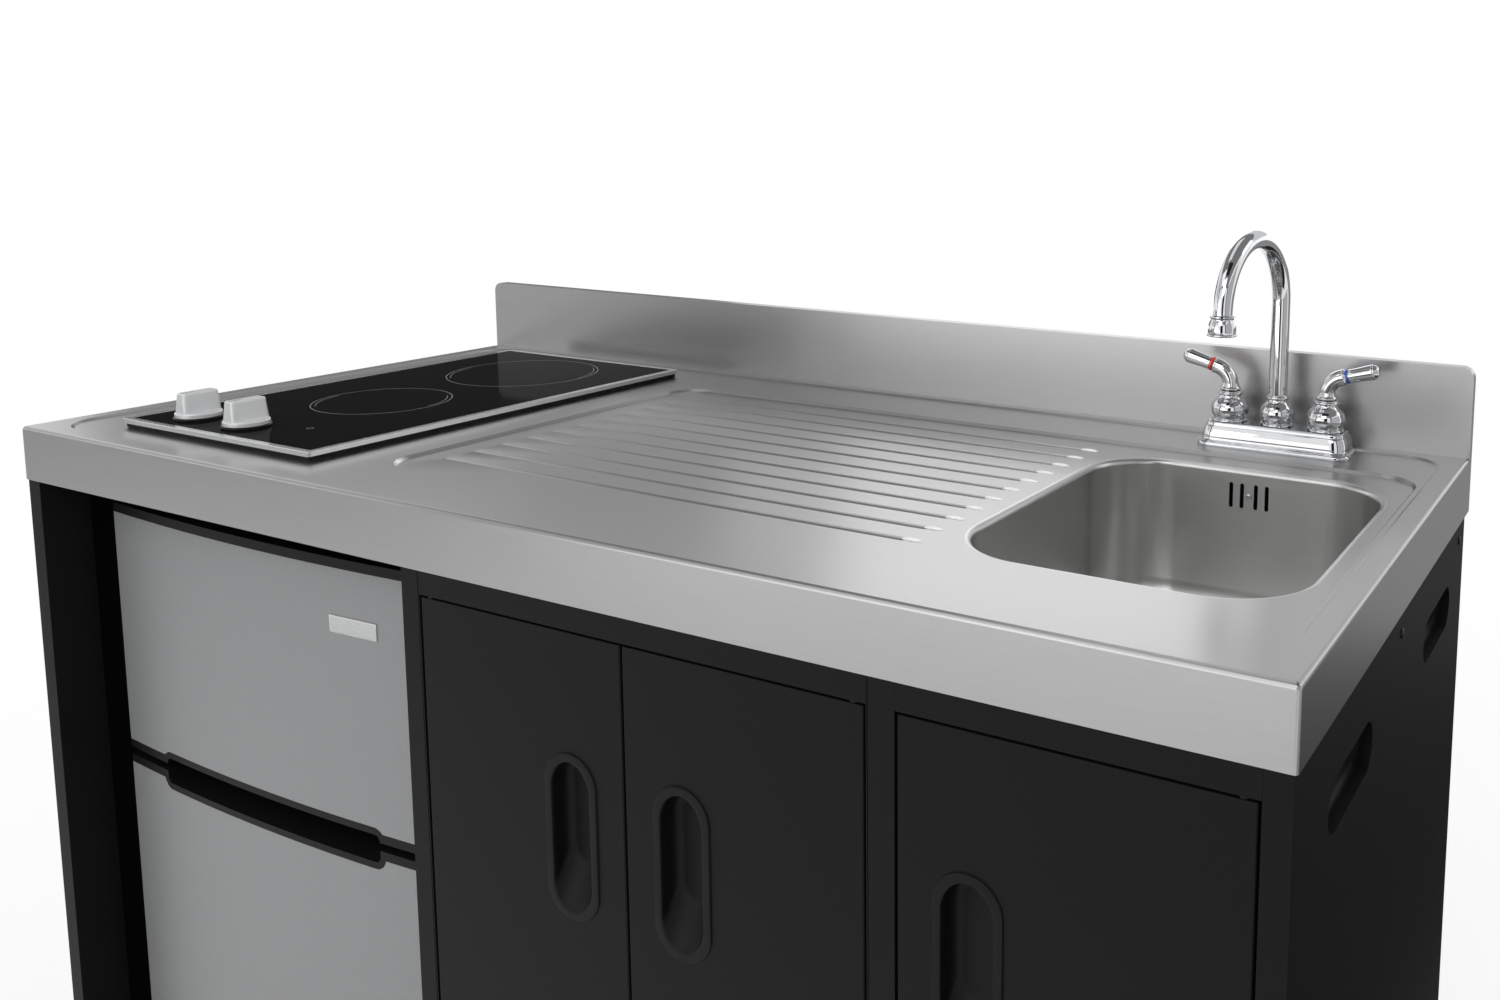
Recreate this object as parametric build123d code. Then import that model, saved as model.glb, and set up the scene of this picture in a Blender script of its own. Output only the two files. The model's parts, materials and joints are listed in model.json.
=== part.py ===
import math
import os

from build123d import *

# Kitchenette unit: a stainless worktop with drainer, sink, tap and two-zone hob on a steel cabinet
# that holds a two-door fridge. Millimetres, +Z up, +X to the right, the front faces -Y, and the
# origin lies on the floor under the middle of the unit.

# Overall sizes
unit_width = 1372.0
unit_depth = 630.0
worktop_height = 914.0
overrun = 5.0
running_gap = 0.05
seat_gap = 0.3

# Worktop sheet
worktop_gauge = 1.5
apron_height = 57.0
worktop_edge_radius = 4.0
worktop_corner_radius = 3.0
splash_height = 92.0
splash_thickness = 13.0
splash_corner_radius = 12.0
border_width = 20.0
border_back = 13.0
field_drop = 2.0
field_corner_radius = 45.0
press_run = 3.0
drainer_drop = 3.0
drainer_left = 447.0
drainer_front = 82.0
drainer_back_margin = 108.0
drainer_right_margin = 27.0
drainer_corner_radius = 40.0

# Drainer flutes
flute_count = 11
flute_left = 478.0
flute_to_bowl = 38.0
flute_front = 136.0
flute_back_margin = 152.0
flute_radius = 5.0
flute_start_depth = 0.5
flute_end_depth = 2.6

# Sink bowl, placed from the right, the front and the back of the unit
bowl_centre_from_right = 186.0
bowl_front_margin = 132.0
bowl_back_margin = 146.0
bowl_width = 280.0
bowl_depth = 150.0
bowl_corner_radius = 68.0
bowl_floor_radius = 28.0
bowl_lip_radius = 6.0
bowl_gauge = 1.0
bowl_notch_gap = 8.0
drain_hole_radius = 28.0
drain_dish_radius = 44.0
drain_dish_depth = 3.0
overflow_slot_width = 4.0
overflow_slot_height = 25.0
overflow_slot_drop = 27.0
overflow_slot_inner = 7.0
overflow_slot_pitch = 11.0
overflow_box_width = 62.0
overflow_box_height = 44.0
overflow_box_depth = 14.0
overflow_box_wall = 2.0
overflow_pipe_radius = 9.0
overflow_pipe_wall = 1.5
overflow_pipe_bend = 22.0

# Strainer and waste outlet
strainer_flange_radius = 41.0
strainer_flange_thickness = 1.5
strainer_wall = 1.5
strainer_cup_radius = 27.5
strainer_cup_depth = 34.0
strainer_nut_radius = 34.0
strainer_nut_height = 10.0
strainer_side_port = 24.0
strainer_spigot = 5.0
tailpiece_radius = 19.05
tailpiece_wall = 1.2
tailpiece_length = 110.0
tailpiece_nut_radius = 25.0
tailpiece_nut_height = 14.0
basket_radius = 24.0
basket_wall = 1.0
basket_height = 22.0
basket_rim_radius = 29.5
basket_slot_count = 8
basket_slot_width = 4.0
basket_knob_radius = 6.0
basket_knob_height = 10.0
basket_stem_radius = 3.0

# Tap
tap_centre_from_back = 58.0
handle_spacing = 101.6
base_length = 160.0
base_depth = 54.0
base_corner_radius = 16.0
base_foot_height = 5.0
base_step_inset = 5.0
base_step_height = 20.0
base_top_inset = 9.0
base_height = 25.0
bell_radius = 19.5
bell_height = 32.0
bell_foot_inset = 1.5
bell_foot_height = 3.0
bell_shoulder_share = 0.55
bell_neck_radius = 11.5
bell_bead_radius = 13.0
bell_bead_height = 4.0
collar_radius = 17.5
spout_radius = 9.5
spout_wall = 1.2
spout_reach = 136.0
spout_tail = 10.0
spout_top = 230.0
spout_rest_turn = 7.0
aerator_radius = 14.0
aerator_cover = 12.0
aerator_drop = 8.0
aerator_neck_radius = 10.5
aerator_bore_radius = 10.0
hub_radius = 10.5
hub_height = 8.0
lever_radius = 8.0
lever_bend_radius = 20.0
lever_rise = 15.0
lever_ring_radius = 8.6
lever_ring_width = 4.0
grip_start_radius = 6.5
grip_end_radius = 8.0
grip_length = 38.0
grip_tip_radius = 3.0
shank_radius = 10.3
shank_bore_radius = 7.0
shank_length = 58.0
shank_hole_radius = 12.5
shank_nut_radius = 17.0
shank_nut_height = 8.0
shank_rail_gap = 2.0

# Hob, placed from the left, the front and the back of the unit
hob_from_left = 86.0
hob_from_front = 53.0
hob_from_back = 65.0
hob_width = 305.0
hob_frame_width = 7.0
hob_frame_height = 5.0
hob_float = 5.0
glass_thickness = 4.0
glass_drop = 0.5
tray_inset = 9.0
tray_depth = 46.0
tray_gauge = 1.0
tray_cutout_gap = 2.0
clamp_length = 26.0
clamp_width = 12.0
clamp_thickness = 2.0
hob_knob_band = 123.0
hob_rear_band = 25.0
zone_gap = 39.0
rear_zone_share = 0.554
element_height = 28.0
element_wall = 4.0
element_glass_gap = 0.3
coil_radius = 2.5
coil_turns = 4
knob_from_front = 42.0
first_knob_from_left = 65.0
knob_pitch = 81.0
knob_skirt_radius = 22.0
knob_skirt_height = 5.0
knob_seat_gap = 3.0
knob_height = 26.0
knob_bar_length = 40.0
knob_bar_width = 15.0
knob_bar_taper = 3.0
knob_edge_radius = 2.0
knob_bore_depth = 16.0
shaft_radius = 3.0
shaft_flat_depth = 1.0
regulator_width = 32.0
regulator_height = 22.0
regulator_bush_radius = 5.0
regulator_bush_height = 3.0
regulator_shaft_depth = 12.0
shaft_end_gap = 2.5

# Cabinet sheet metal
sheet_gauge = 1.2
skin_gap = 0.5
panel_thickness = 20.0
panel_fold_depth = 48.0
panel_return = 14.0
rail_height = 30.0
door_rail_cover = 22.0
foot_height = 24.0
pan_height = 22.0
pan_skirt_gauge = 1.2
fridge_bay_width = 561.0
fridge_bay_panel_thickness = 22.0
sink_bay_width = 263.0
sink_bay_panel_thickness = 24.0
seam_width = 0.6
seam_depth = 0.8
seam_from_edge = 1.4
back_inset = 12.0
service_hole_width = 150.0
service_hole_height = 200.0
service_hole_from_floor = 330.0
service_hole_radius = 4.0
vent_from_top = 150.0
shelf_height = 430.0
shelf_setback = 176.0
shelf_skirt = 20.0
foot_radius = 19.0
foot_pad_height = 8.0
foot_stem_radius = 5.0
foot_inset = 45.0

# Doors, pulls and hinge pins
door_gap = 2.0
door_thickness = 20.0
door_corner_radius = 1.5
door_lip = 16.0
pin_radius = 3.0
pin_from_edge = 10.0
pin_from_front = 5.0
pin_reach = 12.0
washer_radius = 4.5
pull_ring_length = 145.0
pull_ring_width = 57.0
pull_ring_height = 2.0
pull_opening_length = 130.0
pull_opening_width = 41.0
pull_wall = 2.0
pull_depth = 17.0
pull_from_free_edge = 57.0
pull_below_door_top = 174.0
pull_floor_radius = 6.0
catch_width = 40.0
catch_depth = 14.0
catch_height = 12.0
catch_from_free_edge = 26.0

# Grips pressed into the side panels
grip_ring_length = 145.0
grip_ring_width = 57.0
grip_ring_height = 1.0
grip_opening_length = 130.0
grip_opening_width = 41.0
grip_depth = 15.0
grip_floor_radius = 6.0
grip_below_worktop = 127.0
first_grip_from_front = 154.0
second_grip_from_back = 147.0

# Fridge
fridge_side_clearance = 35.5
fridge_face_recess = 43.0
fridge_door_bow = 10.0
fridge_door_depth = 50.0
fridge_rear_clearance = 81.0
fridge_seal_gap = 4.0
fridge_top_clearance = 84.0
fridge_foot_height = 10.0
fridge_foot_radius = 14.0
fridge_foot_inset = 40.0
fridge_gauge = 1.0
fridge_frame_width = 34.0
freezer_door_height = 277.0
door_split_gap = 8.0
top_trim_height = 10.0
trim_height = 9.0
trim_gap_to_skin = 0.2
pocket_length = 354.0
pocket_rise = 5.0
pocket_fall = 11.0
pocket_depth = 26.0
pocket_wall = 3.0
pocket_border = 7.0
pocket_corner_radius = 14.0
door_skin_gauge = 1.0
door_liner_thickness = 3.0
door_liner_inset = 0.5
door_dyke_inset = 45.0
door_dyke_height = 26.0
door_dyke_wall = 3.0
door_bin_height = 40.0
liner_wall = 3.0
liner_flange = 9.0
liner_corner_radius = 14.0
mullion_height = 44.0
freezer_rear_space = 130.0
fridge_rear_space = 80.0
machine_depth = 120.0
machine_height = 138.0
fridge_shelf_count = 2
fridge_shelf_thickness = 5.0
fridge_shelf_setback = 34.0
fridge_shelf_rear_gap = 27.0
fridge_shelf_gap = 0.2
ledge_width = 6.0
ledge_height = 4.0
hinge_plate_thickness = 3.0
hinge_plate_width = 24.0
fridge_pin_radius = 3.5
fridge_pin_from_edge = 14.0
fridge_pin_from_back = 26.0
fridge_pin_reach = 14.0
fridge_washer_radius = 6.5
compressor_radius = 52.0
compressor_height = 118.0
compressor_plate = 3.0
compressor_plate_margin = 6.0
compressor_plate_setback = 5.0
compressor_dome = 30.0
dial_radius = 16.0
dial_height = 9.0
dial_grip_width = 6.0
dial_grip_height = 5.0
dial_grip_inset = 2.5
dial_box_depth = 46.0
dial_box_width = 90.0
dial_box_height = 28.0
dial_stem_radius = 3.0
dial_stem_reach = 6.0

# Places worked out from the sizes above
left_x = -unit_width / 2
right_x = unit_width / 2
front_y = -unit_depth / 2
back_y = unit_depth / 2
field_top = worktop_height - field_drop
drainer_top = field_top - drainer_drop
field_underside = field_top - worktop_gauge
panel_top = field_underside - rail_height
apron_bottom = worktop_height - apron_height
splash_front = back_y - splash_thickness
bowl_length = unit_depth - bowl_front_margin - bowl_back_margin
bowl_x = right_x - bowl_centre_from_right
bowl_y = front_y + bowl_front_margin + bowl_length / 2
flute_length = bowl_x - bowl_width / 2 - flute_to_bowl - left_x - flute_left
flute_pitch = (unit_depth - flute_front - flute_back_margin) / (flute_count - 1)
tap_y = back_y - tap_centre_from_back
tap_floor = field_top
hob_left = left_x + hob_from_left
hob_front = front_y + hob_from_front
hob_length = unit_depth - hob_from_front - hob_from_back
hob_centre_x = hob_left + hob_width / 2
zone_radii_sum = (hob_length - hob_knob_band - hob_rear_band - zone_gap) / 2
rear_zone_radius = zone_radii_sum * rear_zone_share
front_zone_radius = zone_radii_sum - rear_zone_radius
hob_top = field_top + hob_float + hob_frame_height
glass_top = hob_top - glass_drop
glass_bottom = glass_top - glass_thickness
front_zone_y = hob_front + hob_knob_band + front_zone_radius
rear_zone_y = hob_front + hob_length - hob_rear_band - rear_zone_radius
knob_y = hob_front + knob_from_front
left_knob_x = hob_left + first_knob_from_left
right_knob_x = left_knob_x + knob_pitch

cabinet_left = left_x + worktop_gauge + skin_gap
cabinet_right = right_x - worktop_gauge - skin_gap
cabinet_front = front_y + worktop_gauge + skin_gap
cabinet_back = back_y - back_inset
pan_bottom = foot_height
pan_top = pan_bottom + pan_height
bay_panel_left = cabinet_left + panel_thickness + fridge_bay_width
bay_panel_right = bay_panel_left + fridge_bay_panel_thickness
side_panel_inner = cabinet_right - panel_thickness
sink_panel_right = side_panel_inner - sink_bay_width
sink_panel_left = sink_panel_right - sink_bay_panel_thickness
twin_bay_width = sink_panel_left - bay_panel_right
rail_bottom = apron_bottom - door_rail_cover
door_top = rail_bottom - door_gap
door_bottom = pan_top + door_gap
pull_centre_z = door_top - pull_below_door_top
twin_door_width = (twin_bay_width - door_gap * 3) / 2
left_door_left = bay_panel_right + door_gap
right_door_right = sink_panel_left - door_gap
sink_door_left = sink_panel_right + door_gap
sink_door_right = side_panel_inner - door_gap
pin_y = cabinet_front + pin_from_front

fridge_left = cabinet_left + panel_thickness + fridge_side_clearance
fridge_right = bay_panel_left - fridge_side_clearance
fridge_x = (fridge_left + fridge_right) / 2
fridge_face = front_y + fridge_face_recess
fridge_door_back = fridge_face + fridge_door_bow + fridge_door_depth
door_liner_front = fridge_door_back - door_liner_thickness
case_front = fridge_door_back + fridge_seal_gap
case_back = cabinet_back - fridge_rear_clearance
freezer_inner_depth = case_back - case_front - freezer_rear_space
fridge_inner_depth = case_back - case_front - fridge_rear_space
fridge_shelf_depth = fridge_inner_depth - fridge_shelf_setback - fridge_shelf_rear_gap
case_bottom = pan_top + fridge_foot_height
case_top = worktop_height - fridge_top_clearance
freezer_door_top = case_top - hinge_plate_thickness - seat_gap
freezer_door_bottom = freezer_door_top - freezer_door_height
fridge_door_top = freezer_door_bottom - door_split_gap
fridge_door_bottom = case_bottom + hinge_plate_thickness + seat_gap
mullion_middle = freezer_door_bottom - door_split_gap / 2
tub_left = fridge_left + fridge_frame_width
tub_right = fridge_right - fridge_frame_width
freezer_tub_bottom = mullion_middle + mullion_height / 2
freezer_tub_top = case_top - fridge_frame_width
fridge_tub_top = mullion_middle - mullion_height / 2
fridge_tub_bottom = case_bottom + fridge_frame_width
fridge_pin_x = fridge_right - fridge_pin_from_edge
fridge_pin_y = fridge_door_back - fridge_pin_from_back
fridge_shelf_pitch = (fridge_tub_top - fridge_tub_bottom) / (fridge_shelf_count + 1)


# Shape helpers

def block(x_low, x_high, y_low, y_high, z_low, z_high):
    """A box between two corners."""
    size = (x_high - x_low, y_high - y_low, z_high - z_low)
    return Pos(x_low, y_low, z_low) * Box(*size, align=(Align.MIN, Align.MIN, Align.MIN))


def rounded_block(x_low, x_high, y_low, y_high, z_low, z_high, radius):
    """A box with rounded upright edges."""
    outline = RectangleRounded(x_high - x_low, y_high - y_low, radius)
    place = Pos((x_low + x_high) / 2, (y_low + y_high) / 2, z_low)
    return place * extrude(outline, amount=z_high - z_low)


def post(x, y, z_low, z_high, radius):
    """An upright round bar."""
    return Pos(x, y, z_low) * Cylinder(radius, z_high - z_low, align=(Align.CENTER, Align.CENTER, Align.MIN))


def tube(x, y, z_low, z_high, outer, bore):
    """An upright round tube."""
    return post(x, y, z_low, z_high, outer) - post(x, y, z_low - overrun, z_high + overrun, bore)


def stadium_on(plane, length, width, amount):
    """A straight-sided slot outline pushed out from a plane, with its long side along the plane's x."""
    return extrude(plane * SlotOverall(length, width), amount=amount)


def turned(outline_points, x, y, z):
    """A solid of revolution about an upright axis, from points of radius and height."""
    outline = make_face(Polyline(*[(radius, 0, height) for radius, height in outline_points], close=True))
    return Pos(x, y, z) * revolve(outline, axis=Axis.Z)


def pressed_step(x_low, x_high, y_low, y_high, z_top, drop, radius):
    """The space above a sunk field: a rounded rectangle whose sides slope in as it goes down."""
    width = x_high - x_low
    depth = y_high - y_low
    middle = Pos((x_low + x_high) / 2, (y_low + y_high) / 2)
    upper = Pos(0, 0, z_top) * middle * RectangleRounded(width, depth, radius)
    lower_outline = RectangleRounded(width - press_run * 2, depth - press_run * 2, radius - press_run)
    lower = Pos(0, 0, z_top - drop) * middle * lower_outline
    return loft([upper, lower], ruled=True)


def round_ended_bar(x_start, z_start, x_end, z_end, y, radius):
    """A bar with ball ends between two points of a plane of constant y."""
    length = math.hypot(x_end - x_start, z_end - z_start)
    ball_start = CenterArc((0, 0), radius, 180, -90)
    ball_end = CenterArc((length, 0), radius, 90, -90)
    side = Line((0, radius), (length, radius))
    outline = make_face([Line((-radius, 0), (length + radius, 0)), ball_start, side, ball_end])
    bar = revolve(outline, axis=Axis.X)
    tilt = math.degrees(math.atan2(z_end - z_start, x_end - x_start))
    return Pos(x_start, y, z_start) * Rot(0, -tilt, 0) * bar


# Worktop

def worktop_form(inset):
    """The outer shape of the worktop, or its inside when set in by the sheet's thickness."""
    bottom = apron_bottom - (overrun if inset else 0)
    top = worktop_height - inset
    table = block(left_x + inset, right_x - inset, front_y + inset, back_y - inset, bottom, top)
    corners = table.edges().filter_by(Axis.Z).group_by(Axis.Y)[0]
    table = fillet(corners, worktop_corner_radius - inset)
    rolled = table.edges().group_by(Axis.Z)[-1]
    rolled = [edge for edge in rolled if edge.center().Y < back_y - inset - overrun]
    table = fillet(rolled, worktop_edge_radius - inset)
    splash = block(left_x + inset, right_x - inset, splash_front + inset, back_y - inset,
                   top - worktop_edge_radius - overrun, worktop_height + splash_height - inset)
    upper_corners = splash.edges().filter_by(Axis.Y).group_by(Axis.Z)[-1]
    splash = fillet(upper_corners, splash_corner_radius - inset)
    form = table + splash
    form = form - pressed_step(left_x + border_width, right_x - border_width, front_y + border_width,
                               splash_front - border_back, top, field_drop, field_corner_radius)
    form = form - pressed_step(left_x + drainer_left, right_x - drainer_right_margin,
                               front_y + drainer_front, back_y - drainer_back_margin,
                               top - field_drop, drainer_drop, drainer_corner_radius)
    floor = top - field_drop - drainer_drop
    start = left_x + flute_left
    flutes = []
    for number in range(flute_count):
        y = front_y + flute_front + flute_pitch * number
        flutes.append(round_ended_bar(start, floor + flute_radius - flute_start_depth,
                                      start + flute_length, floor + flute_radius - flute_end_depth,
                                      y, flute_radius))
    return form - flutes


def bowl_hole(grow, z_low, z_high):
    """The rounded outline of the bowl's mouth, grown sideways."""
    return rounded_block(bowl_x - bowl_width / 2 - grow, bowl_x + bowl_width / 2 + grow,
                         bowl_y - bowl_length / 2 - grow, bowl_y + bowl_length / 2 + grow,
                         z_low, z_high, bowl_corner_radius + grow)


def make_worktop():
    sheet = worktop_form(0) - worktop_form(worktop_gauge)
    sheet = sheet - bowl_hole(bowl_lip_radius, drainer_top - worktop_gauge - overrun, drainer_top + overrun)
    hole_margin = tray_inset - tray_cutout_gap
    sheet = sheet - block(hob_left + hole_margin, hob_left + hob_width - hole_margin,
                          hob_front + hole_margin, hob_front + hob_length - hole_margin,
                          field_underside - overrun, field_top + overrun)
    for side in (-1, 1):
        sheet = sheet - post(bowl_x + side * handle_spacing / 2, tap_y, field_underside - overrun,
                             field_top + overrun, shank_hole_radius)
    return sheet


def make_worktop_rails():
    """Two inverted channels along the front and the back, under the sunk field."""
    clear_ends = panel_thickness / 2
    rail_left = left_x + border_width + clear_ends
    rail_right = right_x - border_width - clear_ends
    rails = []
    front_start = front_y + border_width + press_run
    back_end = splash_front - border_back - press_run
    for y_low in (front_start, back_end - border_width):
        y_high = y_low + border_width
        channel = block(rail_left, rail_right, y_low, y_high, panel_top, field_underside)
        hollow = block(rail_left - overrun, rail_right + overrun, y_low + sheet_gauge, y_high - sheet_gauge,
                       panel_top - overrun, field_underside - sheet_gauge)
        channel = channel - hollow
        for side in (-1, 1):
            channel = channel - post(bowl_x + side * handle_spacing / 2, tap_y, panel_top - overrun,
                                     field_underside + overrun, shank_nut_radius + shank_rail_gap)
        rails.append(channel)
    return Compound(rails)


# Sink

def make_sink_bowl():
    top = drainer_top
    floor = top - bowl_depth
    outer_bottom = floor - bowl_gauge
    cavity = bowl_hole(0, floor, top + overrun)
    cavity = fillet(cavity.edges().group_by(Axis.Z)[0], bowl_floor_radius)
    dish = turned([(0, overrun), (drain_dish_radius, overrun), (drain_dish_radius, 0),
                   (drain_hole_radius, -drain_dish_depth), (0, -drain_dish_depth)], bowl_x, bowl_y, floor)
    slab = bowl_hole(bowl_lip_radius, outer_bottom - drain_dish_depth, top)
    form = slab - cavity
    rim = form.faces().sort_by(Axis.Z)[-1]
    form = fillet(rim.inner_wires()[0].edges(), bowl_lip_radius - bowl_gauge / 2)
    form = form - dish
    shell = bowl_hole(bowl_gauge, outer_bottom, top + overrun)
    shell = fillet(shell.edges().group_by(Axis.Z)[0], bowl_floor_radius + bowl_gauge)
    shell = shell + turned([(0, overrun), (drain_dish_radius + bowl_gauge, overrun),
                            (drain_dish_radius + bowl_gauge, 0), (drain_hole_radius, -drain_dish_depth),
                            (0, -drain_dish_depth)], bowl_x, bowl_y, outer_bottom)
    outside = bowl_hole(bowl_lip_radius + overrun, outer_bottom - drain_dish_depth - overrun,
                        top - bowl_gauge) - shell
    under_rim = outside.faces().sort_by(Axis.Z)[-1]
    outside = fillet(under_rim.inner_wires()[0].edges(), bowl_lip_radius - bowl_gauge * 3 / 2)
    bowl = form - outside
    bowl = bowl - post(bowl_x, bowl_y, outer_bottom - drain_dish_depth - overrun, floor + overrun,
                       drain_hole_radius)
    for slot_x in overflow_slot_places():
        slot = Plane(origin=(slot_x, bowl_y + bowl_length / 2 - overrun, top - overflow_slot_drop),
                     x_dir=(0, 0, 1), z_dir=(0, 1, 0))
        bowl = bowl - stadium_on(slot, overflow_slot_height, overflow_slot_width, overrun * 2 + bowl_gauge)
    return bowl


def overflow_slot_places():
    """Four slots, two each side of the middle."""
    places = []
    for side in (-1, 1):
        for number in range(2):
            places.append(bowl_x + side * (overflow_slot_inner + overflow_slot_pitch * number))
    return places


def make_overflow_box():
    """A shallow plastic cup over the slots, on the outside of the bowl's rear wall."""
    wall_y = bowl_y + bowl_length / 2 + bowl_gauge
    middle = drainer_top - overflow_slot_drop
    low = middle - overflow_box_height / 2
    high = middle + overflow_box_height / 2 - bowl_lip_radius
    half = overflow_box_width / 2
    cup = block(bowl_x - half, bowl_x + half, wall_y, wall_y + overflow_box_depth, low, high)
    room = block(bowl_x - half + overflow_box_wall, bowl_x + half - overflow_box_wall, wall_y - overrun,
                 wall_y + overflow_box_depth - overflow_box_wall, low + overflow_box_wall,
                 high - overflow_box_wall)
    cup = cup - room
    spigot_y = wall_y + overflow_box_depth + overflow_pipe_radius
    elbow = post(bowl_x, spigot_y, low, low + overflow_pipe_radius * 2, overflow_pipe_radius + overflow_box_wall)
    bridge = block(bowl_x - overflow_pipe_radius, bowl_x + overflow_pipe_radius,
                   wall_y + overflow_box_depth - overflow_box_wall, spigot_y, low, low + overflow_pipe_radius * 2)
    cup = cup + elbow + bridge
    cup = cup - post(bowl_x, spigot_y, low - overrun, low + overflow_pipe_radius, overflow_pipe_radius + running_gap)
    return cup


def make_overflow_pipe():
    """From the overflow box down behind the bowl and forward into the side of the strainer."""
    wall_y = bowl_y + bowl_length / 2 + bowl_gauge
    start_y = wall_y + overflow_box_depth + overflow_pipe_radius
    start_z = drainer_top - overflow_slot_drop - overflow_box_height / 2 + overflow_pipe_radius
    end_y = bowl_y + strainer_cup_radius + strainer_wall
    end_z = strainer_port_height()
    path = FilletPolyline((bowl_x, start_y, start_z), (bowl_x, start_y, end_z), (bowl_x, end_y, end_z),
                          radius=overflow_pipe_bend)
    section = Plane(origin=(bowl_x, start_y, start_z), z_dir=(0, 0, -1))
    outer = sweep(section * Circle(overflow_pipe_radius), path=path)
    inner = sweep(section * Circle(overflow_pipe_radius - overflow_pipe_wall), path=path)
    return outer - inner


def strainer_port_height():
    """Height of the side port's axis on the strainer cup."""
    return drainer_top - bowl_depth - drain_dish_depth - strainer_side_port


def make_strainer_body():
    seat = drainer_top - bowl_depth - drain_dish_depth
    outer = strainer_cup_radius
    inner = outer - strainer_wall
    outlet = tailpiece_radius - tailpiece_wall
    cup_bottom = -strainer_cup_depth
    profile = [(outer, 0), (drain_hole_radius, strainer_flange_thickness),
               (inner, strainer_flange_thickness), (inner, cup_bottom + strainer_wall),
               (outlet, cup_bottom + strainer_wall), (outlet, cup_bottom - strainer_spigot),
               (tailpiece_radius, cup_bottom - strainer_spigot), (tailpiece_radius, cup_bottom), (outer, cup_bottom)]
    body = turned(profile, bowl_x, bowl_y, seat)
    rise = strainer_flange_radius - drain_hole_radius
    span = drain_dish_radius - drain_hole_radius
    lift = drain_dish_depth * rise / span
    ring = turned([(inner, 0), (drain_hole_radius, 0), (strainer_flange_radius, lift),
                   (strainer_flange_radius, lift + strainer_flange_thickness),
                   (drain_hole_radius, strainer_flange_thickness), (inner, strainer_flange_thickness)],
                  bowl_x, bowl_y, seat)
    body = body + ring
    nut_top = seat - bowl_gauge
    nut = tube(bowl_x, bowl_y, nut_top - strainer_nut_height, nut_top, strainer_nut_radius, outer)
    body = body + nut
    port_z = strainer_port_height()
    port = Plane(origin=(bowl_x, bowl_y, port_z), z_dir=(0, 1, 0))
    reach = strainer_cup_radius + strainer_wall + overflow_pipe_radius * 2
    sleeve = extrude(port * Circle(overflow_pipe_radius + overflow_pipe_wall), amount=reach)
    body = body + (sleeve - post(bowl_x, bowl_y, port_z - reach, port_z + reach, inner + strainer_wall / 2))
    hole = extrude(port * Circle(overflow_pipe_radius + running_gap), amount=reach + overrun)
    bore = extrude(port * Circle(overflow_pipe_radius - overflow_pipe_wall), amount=reach)
    far = block(bowl_x - reach, bowl_x + reach, bowl_y + strainer_cup_radius + strainer_wall,
                bowl_y + reach * 2, port_z - reach, port_z + reach)
    return body - (hole & far) - bore


def make_strainer_basket():
    """A slotted cup that hangs by its rim on the strainer and lifts out by its knob."""
    rim_z = drainer_top - bowl_depth - drain_dish_depth + strainer_flange_thickness
    bottom = -basket_height
    inner = basket_radius - basket_wall
    cup = turned([(basket_rim_radius - basket_wall * 2, seat_gap), (basket_radius, seat_gap),
                  (basket_radius, bottom), (0, bottom), (0, bottom + basket_wall),
                  (inner, bottom + basket_wall), (inner, seat_gap + basket_wall),
                  (basket_rim_radius - basket_wall * 2, seat_gap + basket_wall)], bowl_x, bowl_y, rim_z)
    for number in range(basket_slot_count):
        turn = Pos(bowl_x, bowl_y) * Rot(0, 0, 360 / basket_slot_count * number) * Pos(-bowl_x, -bowl_y)
        slot = block(bowl_x + basket_radius / 2, bowl_x + basket_radius + overrun,
                     bowl_y - basket_slot_width / 2, bowl_y + basket_slot_width / 2,
                     rim_z + bottom - overrun, rim_z + bottom + basket_height / 2)
        cup = cup - turn * slot
    cup = cup + post(bowl_x, bowl_y, rim_z + bottom, rim_z + basket_wall, basket_stem_radius)
    knob = post(bowl_x, bowl_y, rim_z, rim_z + basket_knob_height, basket_knob_radius)
    knob = fillet(knob.edges().group_by(Axis.Z)[-1], basket_knob_radius / 3)
    return cup + knob


def make_drain_tailpiece():
    top = drainer_top - bowl_depth - drain_dish_depth - strainer_cup_depth - strainer_spigot
    pipe = tube(bowl_x, bowl_y, top - tailpiece_length, top, tailpiece_radius, tailpiece_radius - tailpiece_wall)
    nut_top = top + strainer_spigot
    nut = tube(bowl_x, bowl_y, nut_top - tailpiece_nut_height, nut_top, tailpiece_nut_radius, tailpiece_radius)
    return pipe + nut


# Tap

def bell(x, radius):
    """A turned bell on the tap's base, narrowing to a neck."""
    foot = radius - bell_foot_inset
    shoulder = bell_height * bell_shoulder_share
    outline = [Line((0, 0), (foot, 0)), Line((foot, 0), (radius, bell_foot_height)),
               Line((radius, bell_foot_height), (radius, shoulder)),
               TangentArc((radius, shoulder), (bell_neck_radius, bell_height), tangent=(0, 1)),
               Line((bell_neck_radius, bell_height), (0, bell_height)), Line((0, bell_height), (0, 0))]
    face = Plane.XZ * make_face(outline)
    turning = revolve(face, axis=Axis.Z)
    bead = Pos(0, 0, bell_height - bell_bead_height / 2) * Cylinder(bell_bead_radius, bell_bead_height)
    bead = fillet(bead.edges(), bell_bead_height / 3)
    return Pos(x, tap_y, tap_floor + base_height) * (turning + bead)


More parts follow.
